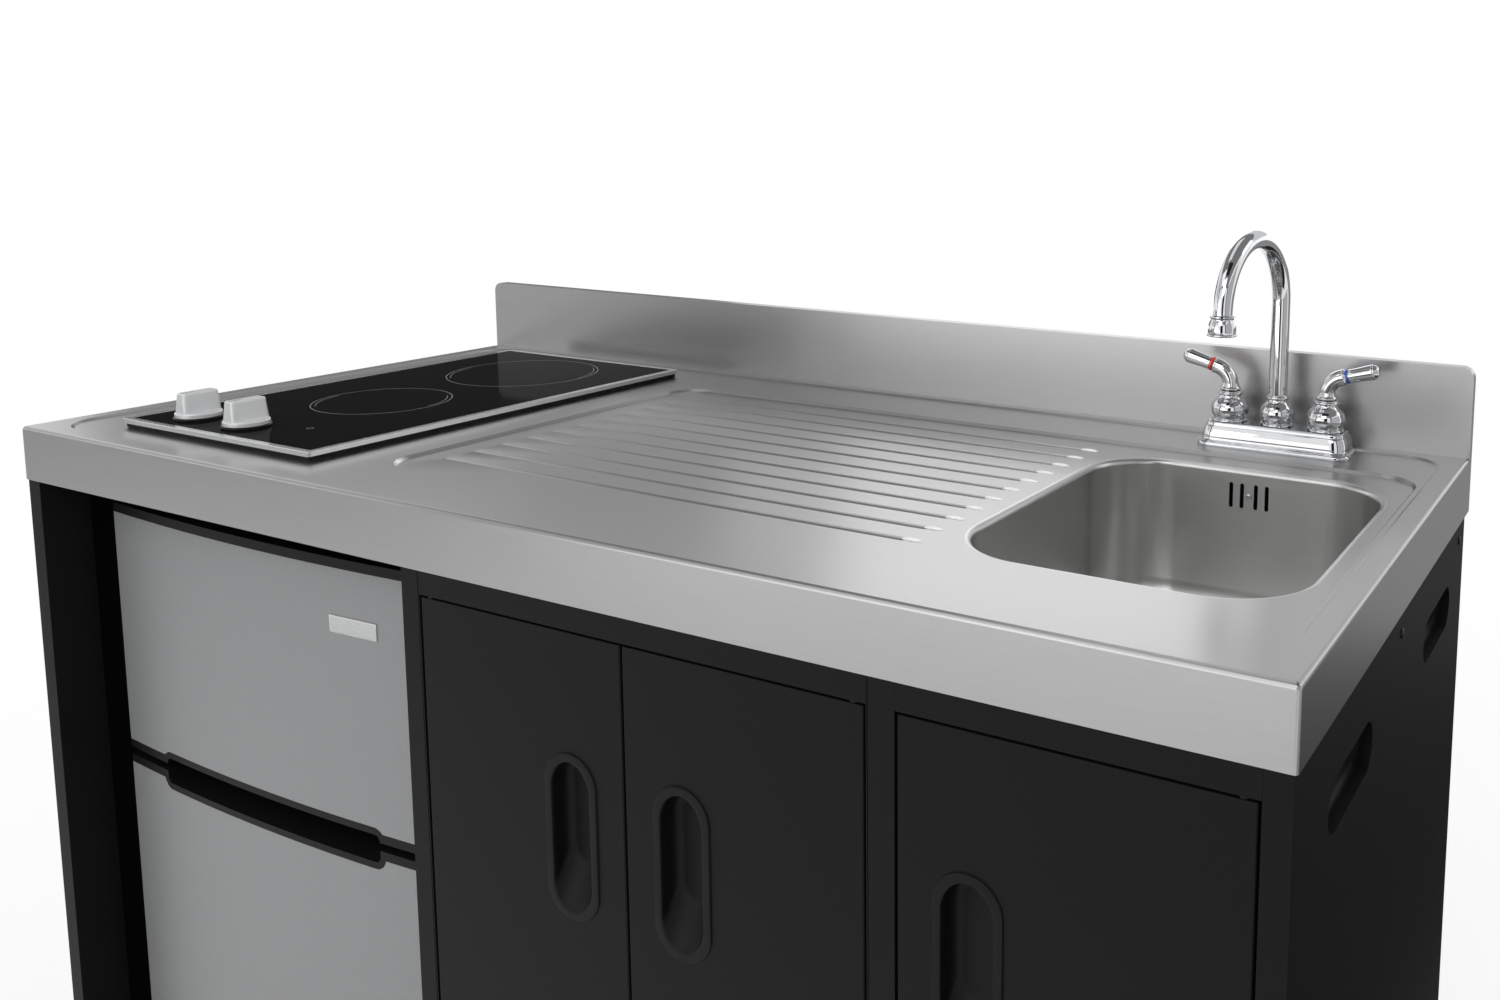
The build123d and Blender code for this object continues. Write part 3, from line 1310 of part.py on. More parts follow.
def make_thermostat_dial():
    """A round dial with a finger bar, under the thermostat box."""
    top = dial_seat() - seat_gap
    dial = post(fridge_x, dial_y(), top - dial_height, top, dial_radius)
    dial = dial + block(fridge_x - dial_grip_width / 2, fridge_x + dial_grip_width / 2,
                        dial_y() - dial_radius + dial_grip_inset, dial_y() + dial_radius - dial_grip_inset,
                        top - dial_height - dial_grip_height, top)
    return dial + post(fridge_x, dial_y(), top, top + dial_stem_reach, dial_stem_radius)


def make_fridge_shelves():
    """Shelves that rest on the liner's ledges, clear of the door bins."""
    shelves = []
    y_low = case_front + fridge_shelf_setback
    x_low = tub_left + liner_wall + fridge_shelf_gap
    x_high = tub_right - liner_wall - fridge_shelf_gap
    for level in shelf_levels():
        shelves.append(block(x_low, x_high, y_low, y_low + fridge_shelf_depth, level,
                             level + fridge_shelf_thickness))
    return Compound(shelves)


def hinge_plate(z_low, pin_down, pin_up):
    """A plate fixed to the case's front, with a pin down, a pin up or both."""
    half = hinge_plate_width / 2
    z_high = z_low + hinge_plate_thickness
    plate = block(fridge_pin_x - half, fridge_pin_x + half, fridge_pin_y - half, case_front, z_low, z_high)
    return plate + post(fridge_pin_x, fridge_pin_y, z_low - pin_down, z_high + pin_up, fridge_pin_radius)


def make_fridge_hinges():
    """Top, middle and bottom hinge plates with their pins."""
    top = hinge_plate(case_top - hinge_plate_thickness, fridge_pin_reach, 0)
    bottom = hinge_plate(case_bottom, 0, fridge_pin_reach)
    middle = hinge_plate(mullion_middle - hinge_plate_thickness / 2, fridge_pin_reach, fridge_pin_reach)
    washers = post(fridge_pin_x, fridge_pin_y, fridge_door_top + seat_gap, freezer_door_bottom - seat_gap,
                   fridge_washer_radius)
    return Compound([top, bottom, middle + washers])


def make_compressor():
    """A domed can on a flat mounting plate, standing on the case's floor."""
    floor = case_bottom + fridge_gauge
    y = case_back - fridge_gauge - compressor_radius - compressor_plate_margin
    half = compressor_radius + compressor_plate_margin
    plate = block(fridge_x - half, fridge_x + half, y - half + compressor_plate_setback, y + half, floor,
                  floor + compressor_plate)
    can = post(fridge_x, y, floor + compressor_plate / 2, floor + compressor_height, compressor_radius)
    can = fillet(can.edges().group_by(Axis.Z)[-1], compressor_dome)
    return plate + can


left_pull_x = left_door_left + twin_door_width - pull_from_free_edge
right_pull_x = right_door_right - twin_door_width + pull_from_free_edge
sink_pull_x = sink_door_left + pull_from_free_edge
left_pin_x, right_pin_x, sink_pin_x = pin_places()

nodes = {
    "worktop": make_worktop(),
    "worktop_rails": make_worktop_rails(),
    "sink_bowl": make_sink_bowl(),
    "overflow_box": make_overflow_box(),
    "overflow_pipe": make_overflow_pipe(),
    "strainer_body": make_strainer_body(),
    "strainer_basket": make_strainer_basket(),
    "drain_tailpiece": make_drain_tailpiece(),
    "tap_base": make_tap_base(),
    "tap_spout": make_tap_spout(),
    "aerator": make_aerator(),
    "hot_handle": make_handle(-1),
    "cold_handle": make_handle(1),
    "hot_index_ring": make_index_ring(-1),
    "cold_index_ring": make_index_ring(1),
    "tap_shanks": make_tap_shanks(),
    "hob_frame": make_hob_frame(),
    "hob_glass": make_hob_glass(),
    "hob_tray": make_hob_tray(),
    "front_element": make_element(front_zone_y, front_zone_radius),
    "rear_element": make_element(rear_zone_y, rear_zone_radius),
    "left_regulator": make_regulator(left_knob_x),
    "right_regulator": make_regulator(right_knob_x),
    "left_knob": make_knob(left_knob_x),
    "right_knob": make_knob(right_knob_x),
    "left_knob_shaft": make_knob_shaft(left_knob_x),
    "right_knob_shaft": make_knob_shaft(right_knob_x),
    "side_panel_left": make_side_panel(-1),
    "side_panel_right": make_side_panel(1),
    "fridge_bay_panel": make_bay_panel(bay_panel_left, bay_panel_right, bay_panel_right - seam_from_edge),
    "sink_bay_panel": make_bay_panel(sink_panel_left, sink_panel_right, sink_panel_left + seam_from_edge),
    "back_panel": make_back_panel(),
    "sink_back_panel": make_sink_back_panel(),
    "floor_pan": make_floor_pan(),
    "front_rail": make_front_rail(),
    "cabinet_shelf": make_cabinet_shelf(),
    "leveller_feet": make_leveller_feet(),
    "left_door": make_door(left_door_left, left_door_left + twin_door_width, left_pull_x, left_pin_x),
    "right_door": make_door(right_door_right - twin_door_width, right_door_right, right_pull_x, right_pin_x),
    "sink_door": make_door(sink_door_left, sink_door_right, sink_pull_x, sink_pin_x),
    "left_door_pull": make_pull(left_pull_x),
    "right_door_pull": make_pull(right_pull_x),
    "sink_door_pull": make_pull(sink_pull_x),
    "left_door_pins": make_door_pins(left_pin_x),
    "right_door_pins": make_door_pins(right_pin_x),
    "sink_door_pins": make_door_pins(sink_pin_x),
    "door_catches": make_door_catches(),
    "fridge_case": make_fridge_case(),
    "freezer_liner": make_tub(freezer_tub_bottom, freezer_tub_top, freezer_inner_depth, 0, 0),
    "fridge_liner": make_fridge_liner(),
    "fridge_shelves": make_fridge_shelves(),
    "thermostat_dial": make_thermostat_dial(),
    "freezer_door": make_freezer_door(),
    "freezer_trim": make_freezer_trim(),
    "freezer_door_liner": make_fridge_door_liner(freezer_door_bottom, freezer_door_top, 0),
    "fridge_door": make_fridge_door(),
    "fridge_trim": make_fridge_trim(),
    "fridge_door_liner": make_fridge_door_liner(fridge_door_bottom, fridge_door_top, 2),
    "fridge_hinges": make_fridge_hinges(),
    "compressor": make_compressor(),
}

os.makedirs("parts", exist_ok=True)
for name, shape in nodes.items():
    export_step(shape, f"parts/{name}.step")
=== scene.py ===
import json
import math

import bpy
from bpy.props import FloatProperty, FloatVectorProperty, IntProperty, PointerProperty
from mathutils import Matrix, Vector


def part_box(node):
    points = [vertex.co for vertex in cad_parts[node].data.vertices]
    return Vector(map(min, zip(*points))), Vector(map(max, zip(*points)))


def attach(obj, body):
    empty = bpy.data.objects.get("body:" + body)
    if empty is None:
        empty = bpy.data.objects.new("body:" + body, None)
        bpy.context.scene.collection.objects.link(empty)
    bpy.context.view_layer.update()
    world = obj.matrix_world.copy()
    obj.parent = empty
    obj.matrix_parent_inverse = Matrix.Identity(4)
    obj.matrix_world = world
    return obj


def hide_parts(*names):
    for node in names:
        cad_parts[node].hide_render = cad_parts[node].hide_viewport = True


bl_info = {
    "name": "Kitchenette unit",
    "version": (1, 0, 0),
    "blender": (4, 5, 0),
    "location": "View3D > Sidebar > Kitchenette",
    "description": "Dresses a kitchenette with sink, hob and fridge, and sets its studio",
    "category": "Object",
}

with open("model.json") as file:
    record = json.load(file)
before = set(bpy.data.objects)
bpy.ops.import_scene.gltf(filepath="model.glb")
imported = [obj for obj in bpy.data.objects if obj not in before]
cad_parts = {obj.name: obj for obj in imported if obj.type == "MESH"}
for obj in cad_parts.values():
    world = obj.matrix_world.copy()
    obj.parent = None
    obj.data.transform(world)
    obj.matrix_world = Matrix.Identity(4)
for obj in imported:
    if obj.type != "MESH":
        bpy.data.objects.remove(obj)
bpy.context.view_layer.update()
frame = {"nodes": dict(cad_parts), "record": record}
SLOT_OF = {part["node"]: part["material_slot"] for part in frame["record"]["subparts"]}
MM = 0.001
MAIN_BODY = "cabinet"
MERGE_DISTANCE = 0.000005
FLUTE_COUNT = 11
FLUTE_PITCH = 34.2
FLUTE_END_X, FLUTE_FIRST_Y, FLUTE_END_Z = 330.0, -179.0, 908.9
HANDLE_REACH = 50.8
RING_GAP = 5.0
FINISH = {}


# Colour and nodes

def linear(hex_code):
    """An sRGB hex colour as linear red, green, blue and alpha."""
    values = [int(hex_code[start:start + 2], 16) / 255 for start in (1, 3, 5)]
    return tuple(v / 12.92 if v <= 0.04045 else ((v + 0.055) / 1.055) ** 2.4 for v in values) + (1.0,)


def add_node(tree, kind, inputs=None, **settings):
    """Adds a node, sets its settings, and gives each input a value or a link."""
    node = tree.nodes.new(kind)
    for name, value in settings.items():
        setattr(node, name, value)
    for key, value in (inputs or {}).items():
        if isinstance(value, bpy.types.NodeSocket):
            tree.links.new(value, node.inputs[key])
        else:
            node.inputs[key].default_value = value
    return node


def maths(tree, operation, *values):
    """The result of a maths node; each value is a number or a socket."""
    return add_node(tree, "ShaderNodeMath", dict(enumerate(values)), operation=operation).outputs[0]


def highest(tree, values):
    """The highest of several sockets."""
    total = values[0]
    for value in values[1:]:
        total = maths(tree, "MAXIMUM", total, value)
    return total


def seen_directly(tree):
    """1 for what the camera, a mirror or clear glass sees, and 0 for what only lights a surface."""
    path = add_node(tree, "ShaderNodeLightPath").outputs
    return highest(tree, [path[kind] for kind in ("Is Camera Ray", "Is Glossy Ray", "Is Transmission Ray")])


def noise(tree, place, scale, detail=2.0, roughness=0.5):
    """A noise pattern's value."""
    return add_node(tree, "ShaderNodeTexNoise", {"Vector": place, "Scale": scale, "Detail": detail,
                                                 "Roughness": roughness}).outputs["Fac"]


def start_material(name, colour, metallic, roughness, **constants):
    """A material with its shader's plain values set on the shader's own sockets."""
    material = bpy.data.materials.new(name)
    material.use_nodes = True
    tree = material.node_tree
    shader = tree.nodes["Principled BSDF"]
    shader.inputs["Base Color"].default_value = colour
    shader.inputs["Metallic"].default_value = metallic
    shader.inputs["Roughness"].default_value = roughness
    for socket, value in constants.items():
        shader.inputs[socket.replace("_", " ")].default_value = value
    material.diffuse_color = colour
    place = add_node(tree, "ShaderNodeTexCoord").outputs["Object"]
    return material, tree, shader, place


def shade_of(colour, factor):
    """A darker or lighter version of a linear colour."""
    return tuple(min(1.0, v * factor) for v in colour[:3]) + (1.0,)


def vary(tree, shader, pattern, colour, darker, lighter, rough_low, rough_high, bump, height):
    """Lets one pattern drive the colour, the roughness and the relief of a shader."""
    ramp = add_node(tree, "ShaderNodeValToRGB", {"Fac": pattern})
    ramp.color_ramp.elements[0].position = 0.3
    ramp.color_ramp.elements[0].color = shade_of(colour, darker)
    ramp.color_ramp.elements[1].position = 0.7
    ramp.color_ramp.elements[1].color = shade_of(colour, lighter)
    tree.links.new(ramp.outputs["Color"], shader.inputs["Base Color"])
    rough = add_node(tree, "ShaderNodeMapRange", {"Value": pattern, "From Min": 0.3, "From Max": 0.7,
                                                  "To Min": rough_low, "To Max": rough_high})
    tree.links.new(rough.outputs["Result"], shader.inputs["Roughness"])
    if bump:
        relief = add_node(tree, "ShaderNodeBump", {"Height": pattern, "Strength": bump, "Distance": height})
        tree.links.new(relief.outputs["Normal"], shader.inputs["Normal"])


# Finishes

def brushed_steel(name, colour, roughness, line_pitch, line_length):
    """Brushed stainless steel: fine parallel lines that draw reflections out across them.
    The real lines lie 0.1 mm apart, and are drawn coarser so that they show."""
    material, tree, shader, place = start_material(name, colour, 1.0, roughness)
    fine, long = 1 / line_pitch, 1 / line_length
    lines_x, lines_y = [
        noise(tree, add_node(tree, "ShaderNodeMapping", {"Vector": place, "Scale": scale}).outputs["Vector"],
              1.0, 3.0, 0.6) for scale in ((long, fine, fine), (fine, long, fine))]
    normal = add_node(tree, "ShaderNodeNewGeometry").outputs["Normal"]
    sideways = add_node(tree, "ShaderNodeSeparateXYZ", {"Vector": normal}).outputs["X"]
    is_side = maths(tree, "GREATER_THAN", maths(tree, "ABSOLUTE", sideways), 0.7)
    lines = add_node(tree, "ShaderNodeMix", {"Factor": is_side, "A": lines_x, "B": lines_y})
    mixed = add_node(tree, "ShaderNodeMix", {"Factor": 0.1, "A": lines.outputs["Result"],
                                             "B": noise(tree, place, 6.0)})
    vary(tree, shader, mixed.outputs["Result"], colour, 0.96, 1.04, roughness - 0.02, roughness + 0.02, 0.03,
         0.00003)
    along = add_node(tree, "ShaderNodeCombineXYZ", {"X": maths(tree, "SUBTRACT", 1.0, is_side), "Y": is_side})
    across = add_node(tree, "ShaderNodeVectorMath", {0: normal, 1: along.outputs[0]}, operation="CROSS_PRODUCT")
    tree.links.new(across.outputs[0], shader.inputs["Tangent"])
    shader.inputs["Anisotropic"].default_value = 0.5
    return material


def coated_metal(name, colour, roughness, specular, grain, bump, metallic=0.0, contrast=0.06):
    """Baked powder paint on steel: an even coat with the fine orange peel that softens highlights."""
    material, tree, shader, place = start_material(name, colour, metallic, roughness,
                                                   Specular_IOR_Level=specular)
    vary(tree, shader, noise(tree, place, 1 / grain), colour, 1 - contrast, 1 + contrast, roughness - 0.04,
         roughness + 0.05, bump, 0.0001)
    return material


def polished_metal(name, colour, roughness):
    """Bright plated or drawn metal: a mirror with faint cloudy wipe marks."""
    material, tree, shader, place = start_material(name, colour, 1.0, roughness)
    vary(tree, shader, noise(tree, place, 60.0, 3.0), colour, 0.97, 1.02, roughness * 0.6, roughness * 1.6, 0, 0)
    return material


def spangled_zinc(name, colour):
    """Hot-dip galvanised sheet: flat crystals a few millimetres wide, each with its own grey."""
    material, tree, shader, place = start_material(name, colour, 0.9, 0.42)
    crystals = add_node(tree, "ShaderNodeTexVoronoi", {"Vector": place, "Scale": 1 / 0.007})
    grey = add_node(tree, "ShaderNodeRGBToBW", {"Color": crystals.outputs["Color"]})
    vary(tree, shader, grey.outputs["Val"], colour, 0.8, 1.12, 0.34, 0.5, 0, 0)
    return material


def moulded_plastic(name, colour, roughness, specular, grain=0.0008, bump=0.12):
    """Injection-moulded ABS: one through-colour with the faint spark-eroded texture of its mould."""
    material, tree, shader, place = start_material(name, colour, 0.0, roughness,
                                                   Specular_IOR_Level=specular)
    pits = add_node(tree, "ShaderNodeTexVoronoi", {"Vector": place, "Scale": 1 / grain}, feature="F1")
    vary(tree, shader, pits.outputs["Distance"], colour, 0.95, 1.05, roughness - 0.03, roughness + 0.05, bump,
         0.00004)
    return material


def printed_glass(name, colour, print_colour, line_width, lamp_mark):
    """Ceramic glass, black in its depth, with thin enamel rings over the two heaters, a short second arc at each
    side of them, and a small ring round the lamp."""
    material, tree, shader, place = start_material(name, colour, 0.0, 0.06, Specular_IOR_Level=0.003)
    spot = add_node(tree, "ShaderNodeSeparateXYZ", {"Vector": place}).outputs
    marks = []
    for node in ("front_element", "rear_element"):
        low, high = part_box(node)
        middle = (low + high) / 2
        radius = (high.x - low.x) / 2
        dx = maths(tree, "SUBTRACT", spot["X"], middle.x)
        dy = maths(tree, "SUBTRACT", spot["Y"], middle.y)
        away = add_node(tree, "ShaderNodeCombineXYZ", {"X": dx, "Y": dy}).outputs[0]
        reach = add_node(tree, "ShaderNodeVectorMath", {0: away}, operation="LENGTH").outputs["Value"]
        inner = maths(tree, "COMPARE", reach, radius - RING_GAP * MM, line_width * 0.4)
        within = maths(tree, "COMPARE", maths(tree, "DIVIDE", dy, dx), 0.8, 0.7)
        marks += [maths(tree, "COMPARE", reach, radius, line_width / 2), maths(tree, "MINIMUM", inner, within)]
    x, y, radius = lamp_mark
    reach = add_node(tree, "ShaderNodeVectorMath", {0: place, 1: (x, y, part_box("hob_glass")[1].z)},
                     operation="DISTANCE").outputs["Value"]
    marks.append(maths(tree, "COMPARE", reach, radius, line_width * 0.4))
    paint = add_node(tree, "ShaderNodeMix", {"Factor": highest(tree, marks), "A": colour, "B": print_colour},
                     data_type="RGBA")
    tree.links.new(paint.outputs["Result"], shader.inputs["Base Color"])
    rough = add_node(tree, "ShaderNodeMapRange", {"Value": noise(tree, place, 25.0), "To Min": 0.03,
                                                  "To Max": 0.1})
    tree.links.new(rough.outputs["Result"], shader.inputs["Roughness"])
    return material


def pressed_fibre(name, colour):
    """Pressed mineral fibre under the heating coil: chalky and slightly pitted."""
    material, tree, shader, place = start_material(name, colour, 0.0, 0.9)
    vary(tree, shader, noise(tree, place, 900.0, 4.0), colour, 0.85, 1.08, 0.85, 0.95, 0.5, 0.0004)
    return material


def clear_shelf(name, colour):
    """Toughened glass shelf: clear with a green edge."""
    material, tree, shader, place = start_material(name, colour, 0.0, 0.08, Transmission_Weight=0.85, IOR=1.52)
    vary(tree, shader, noise(tree, place, 40.0), colour, 0.97, 1.03, 0.05, 0.14, 0, 0)
    return material


# Modelling helpers

def clear_selection():
    """Nothing selected and no mesh open."""
    if bpy.context.object and bpy.context.object.mode != "OBJECT":
        bpy.ops.object.mode_set(mode="OBJECT")
    bpy.ops.object.select_all(action="DESELECT")


def hold(piece):
    """Makes a piece the only one selected."""
    clear_selection()
    piece.select_set(True)
    bpy.context.view_layer.objects.active = piece


def named(piece, name):
    """Gives an object and its mesh one name."""
    piece.name = name
    piece.data.name = name
    return piece


def open_all(piece, kind="VERT"):
    """Opens a piece for editing with everything selected."""
    hold(piece)
    bpy.ops.object.mode_set(mode="EDIT")
    bpy.ops.mesh.select_mode(type=kind)
    bpy.ops.mesh.select_all(action="SELECT")


def open_some(piece, kind, test):
    """Opens a piece for editing with only the vertices or faces selected that pass a test."""
    hold(piece)
    for group in (piece.data.vertices, piece.data.edges, piece.data.polygons):
        group.foreach_set("select", [False] * len(group))
    for part in piece.data.vertices if kind == "VERT" else piece.data.polygons:
        part.select = test(part)
    bpy.ops.object.mode_set(mode="EDIT")
    bpy.ops.mesh.select_mode(type=kind)


def close_up(piece, outward=True):
    """Merges doubles, turns the faces outwards and leaves edit mode."""
    open_all(piece)
    bpy.ops.mesh.remove_doubles(threshold=MERGE_DISTANCE)
    if outward:
        bpy.ops.mesh.normals_make_consistent(inside=False)
    bpy.ops.object.mode_set(mode="OBJECT")


def place(piece, matrix):
    """Moves a piece by a matrix and puts the place into its mesh."""
    hold(piece)
    piece.matrix_world = matrix @ piece.matrix_world
    bpy.ops.object.transform_apply()


def apply_modifier(piece, kind, **settings):
    """Adds a modifier, sets its settings and applies it."""
    hold(piece)
    modifier = piece.modifiers.new(kind.title(), kind)
    for name, value in settings.items():
        setattr(modifier, name, value)
    bpy.ops.object.modifier_apply(modifier=modifier.name)


def soften(piece, width, segments=2):
    """Rounds the sharp edges of a piece."""
    apply_modifier(piece, "BEVEL", width=width, segments=segments, limit_method="ANGLE",
                   angle_limit=math.radians(35), miter_outer="MITER_ARC")


def cut_from(piece, cutter):
    """Takes the cutter's shape out of a piece, and the cutter away."""
    apply_modifier(piece, "BOOLEAN", object=cutter, operation="DIFFERENCE", solver="EXACT")
    bpy.data.objects.remove(cutter)


def finish_piece(piece, slot, body=MAIN_BODY, material=None, smooth=35, stands_for=()):
    """Gives a finished piece its smoothing, material and body, and hides the nodes it stands for."""
    hold(piece)
    bpy.ops.object.transform_apply()
    bpy.ops.object.shade_smooth_by_angle(angle=math.radians(smooth))
    apply_modifier(piece, "WEIGHTED_NORMAL", keep_sharp=True)
    piece.data.materials.clear()
    piece.data.materials.append(bpy.data.materials[material or FINISH[slot]])
    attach(piece, body)
    if stands_for:
        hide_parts(*stands_for)


def body_of_node(node):
    """The name of the body that carries a node."""
    return next(name for name, nodes in frame["record"]["behaviour"]["bodies"].items() if node in nodes)


def dressed_copy(node, name, softness=0.0, smooth=35, material=None, flatten=True):
    """A node's own shape as one joined mesh, with smooth shading and soft edges."""
    piece = frame["nodes"][node].copy()
    piece.data = piece.data.copy()
    named(piece, name)
    for key in [key for key in piece.keys() if key.startswith("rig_")]:
        del piece[key]
    piece.parent = None
    bpy.context.scene.collection.objects.link(piece)
    hold(piece)
    bpy.ops.mesh.customdata_custom_splitnormals_clear()
    open_all(piece)
    bpy.ops.mesh.remove_doubles(threshold=MERGE_DISTANCE)
    if flatten:
        bpy.ops.mesh.dissolve_limited(angle_limit=math.radians(0.3))
    bpy.ops.object.mode_set(mode="OBJECT")
    if softness:
        soften(piece, softness)
    finish_piece(piece, SLOT_OF[node], body_of_node(node), material, smooth, (node,))


def block_piece(name, low, high):
    """A cube set between two corners, given in millimetres, ready to be shaped."""
    low = Vector(low) * MM
    high = Vector(high) * MM
    clear_selection()
    bpy.ops.mesh.primitive_cube_add(size=1, location=(low + high) / 2)
    piece = named(bpy.context.object, name)
    piece.scale = high - low
    bpy.ops.object.transform_apply()
    return piece


def disc_piece(name, radius, segments, height=0):
    """A flat disc, sizes in millimetres, ready to be shaped."""
    clear_selection()
    bpy.ops.mesh.primitive_circle_add(vertices=segments, radius=radius * MM, fill_type="NGON",
                                      location=(0, 0, height * MM))
    piece = named(bpy.context.object, name)
    bpy.ops.object.transform_apply()
    return piece


def raise_faces(x, y, z):
    """Extrudes the selected faces along a step in millimetres."""
    bpy.ops.mesh.extrude_region_move(TRANSFORM_OT_translate={"value": Vector((x, y, z)) * MM})


def grow_profile(piece, profile, half_x, half_y):
    """Raises the open face of a ring step by step; each step is an inset and a height in millimetres."""
    open_all(piece, "FACE")
    for (inset, height), (next_inset, next_height) in zip(profile, profile[1:]):
        raise_faces(0, 0, next_height - height)
        ratio_x = (half_x - next_inset) / (half_x - inset)
        ratio_y = (half_y - next_inset) / (half_y - inset)
        bpy.ops.transform.resize(value=(ratio_x, ratio_y, 1), center_override=(0, 0, next_height * MM))
    close_up(piece)


def turned_piece(name, profile, matrix, segments=64):
    """A turned shape from radii and heights in millimetres: a disc raised and widened step by step."""
    radius, height = profile[0]
    piece = disc_piece(name, radius, segments, height)
    grow_profile(piece, [(-wide, high) for wide, high in profile], 0, 0)
    place(piece, matrix)
    return piece


def spun_bar(name, radius, straights, bend, sweep, matrix, steps):
    """A round bar that rises, bends towards its own +X, and runs on straight; sizes in millimetres."""
    rise, run = straights
    piece = disc_piece(name, radius, 48)
    open_all(piece, "FACE")
    raise_faces(0, 0, rise)
    turn = math.radians(sweep)
    bpy.ops.mesh.spin(steps=steps, angle=-turn, center=(bend * MM, 0, rise * MM), axis=(0, 1, 0))
    raise_faces(math.sin(turn) * run, 0, math.cos(turn) * run)
    close_up(piece)
    place(piece, matrix)
    return piece


def join(name, pieces):
    """Joins shaped pieces into one."""
    hold(pieces[0])
    for piece in pieces[1:]:
        piece.select_set(True)
    bpy.ops.object.join()
    return named(bpy.context.object, name)


def at(x, y, z):
    """A place in millimetres."""
    return Matrix.Translation(Vector((x, y, z)) * MM)


def facing(x, y, z, direction):
    """A place in millimetres whose own +Z looks along a direction."""
    return at(x, y, z) @ Vector(direction).to_track_quat("Z", "Y").to_matrix().to_4x4()


def box_mm(node):
    """A node's box as two corners in millimetres."""
    return [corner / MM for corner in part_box(node)]


def centre_of(node):
    """The middle of a node's box, in millimetres."""
    low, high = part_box(node)
    return (low + high) / 2 / MM


# Settings

def colour_setting(name, description, hex_code):
    """A colour that the panel's user can change."""
    return FloatVectorProperty(name=name, description=description, subtype="COLOR", size=4, min=0, max=1,
                               default=linear(hex_code))


def length_setting(name, description, default, low):
    """A length in metres that the panel's user can change."""
    return FloatProperty(name=name, description=description, unit="LENGTH", default=default, min=low)


def power_setting(name, description, default):
    """A lamp's power in watts that the panel's user can change."""
    return FloatProperty(name=name, description=description, unit="POWER", default=default, min=0)


class SteelSettings(bpy.types.PropertyGroup):
    """Worktop and sink."""
    sheet_colour: colour_setting("Worktop steel", "Colour of the brushed worktop", "#BABABA")
    # The bowl's steel is lighter than the worktop's as painted light; its shorter brush lines are its own satin
    # finish
    bowl_colour_painted_lighter: colour_setting("Bowl steel", "Colour of the satin bowl, lighter than the worktop as painted light", "#D2D2D1")
    line_pitch: length_setting("Brush line pitch", "Distance between drawn brush lines", 0.0006, 0.0001)
    line_length: length_setting("Brush line length", "Length of a brush line", 0.05, 0.001)
    screw_radius: length_setting("Overflow screw radius", "Head of the overflow screw", 0.0032, 0.001)


class TapSettings(bpy.types.PropertyGroup):
    """Tap."""
    chrome_colour: colour_setting("Chrome", "Colour of the plated tap", "#DDDEE0")
    hot_colour: colour_setting("Hot ring", "Colour of the ring on the hot handle", "#E03A2A")
    cold_colour: colour_setting("Cold ring", "Colour of the ring on the cold handle", "#1E49C0")
    round_steps: IntProperty(name="Round steps", description="Faces round each turned piece",
                             default=64, min=16, max=128)


class HobSettings(bpy.types.PropertyGroup):
    """Hob."""
    glass_colour: colour_setting("Glass", "Colour of the ceramic glass", "#141415")
    print_colour: colour_setting("Enamel rings", "Colour of the rings on the glass", "#8B8D90")
    print_width: length_setting("Ring width", "Width of an enamel ring", 0.0009, 0.0002)
    # The trim steel is lighter than the worktop's as a painted highlight
    trim_colour_painted_highlight: colour_setting("Trim", "Colour of the steel trim, lightened as a painted highlight", "#E0E1E2")
    knob_colour: colour_setting("Knobs", "Colour of the satin silver knobs", "#D2D3D4")


class CabinetSettings(bpy.types.PropertyGroup):
    """Cabinet and doors."""
    coat_colour: colour_setting("Powder coat", "Colour of the black cabinet", "#121212")
    grain: length_setting("Coat grain", "Size of the orange peel", 0.0012, 0.0002)
    edge_softness: length_setting("Edge softness", "Radius of the folded sheet's edges", 0.0009, 0.0001)
    screw_radius: length_setting("Screw radius", "Head radius of the panel screws", 0.0045, 0.001)


class FridgeSettings(bpy.types.PropertyGroup):
    """Fridge."""
    door_colour: colour_setting("Door paint", "Colour of the fridge doors", "#8B8C8D")
    grain: length_setting("Paint grain", "Size of the metallic grain", 0.0009, 0.0002)


class StageSettings(bpy.types.PropertyGroup):
    """Floor, light and camera."""
    floor_colour: colour_setting("Floor", "Colour of the pale floor", "#F2F2F2")
    key_power: power_setting("Key light", "Power of the main softbox", 55.0)
    fill_power: power_setting("Fill light", "Power of the fill softbox", 28.0)
    rear_power: power_setting("Rear light", "Power of the softbox above the back", 26.0)
    ambient: FloatProperty(name="Ambient", description="Level of the even light from all sides",
                           default=0.55, min=0)


class KitchenetteSettings(bpy.types.PropertyGroup):
    """All groups."""
    steel: PointerProperty(type=SteelSettings)
    tap: PointerProperty(type=TapSettings)
    hob: PointerProperty(type=HobSettings)
    cabinet: PointerProperty(type=CabinetSettings)
    fridge: PointerProperty(type=FridgeSettings)
    stage: PointerProperty(type=StageSettings)


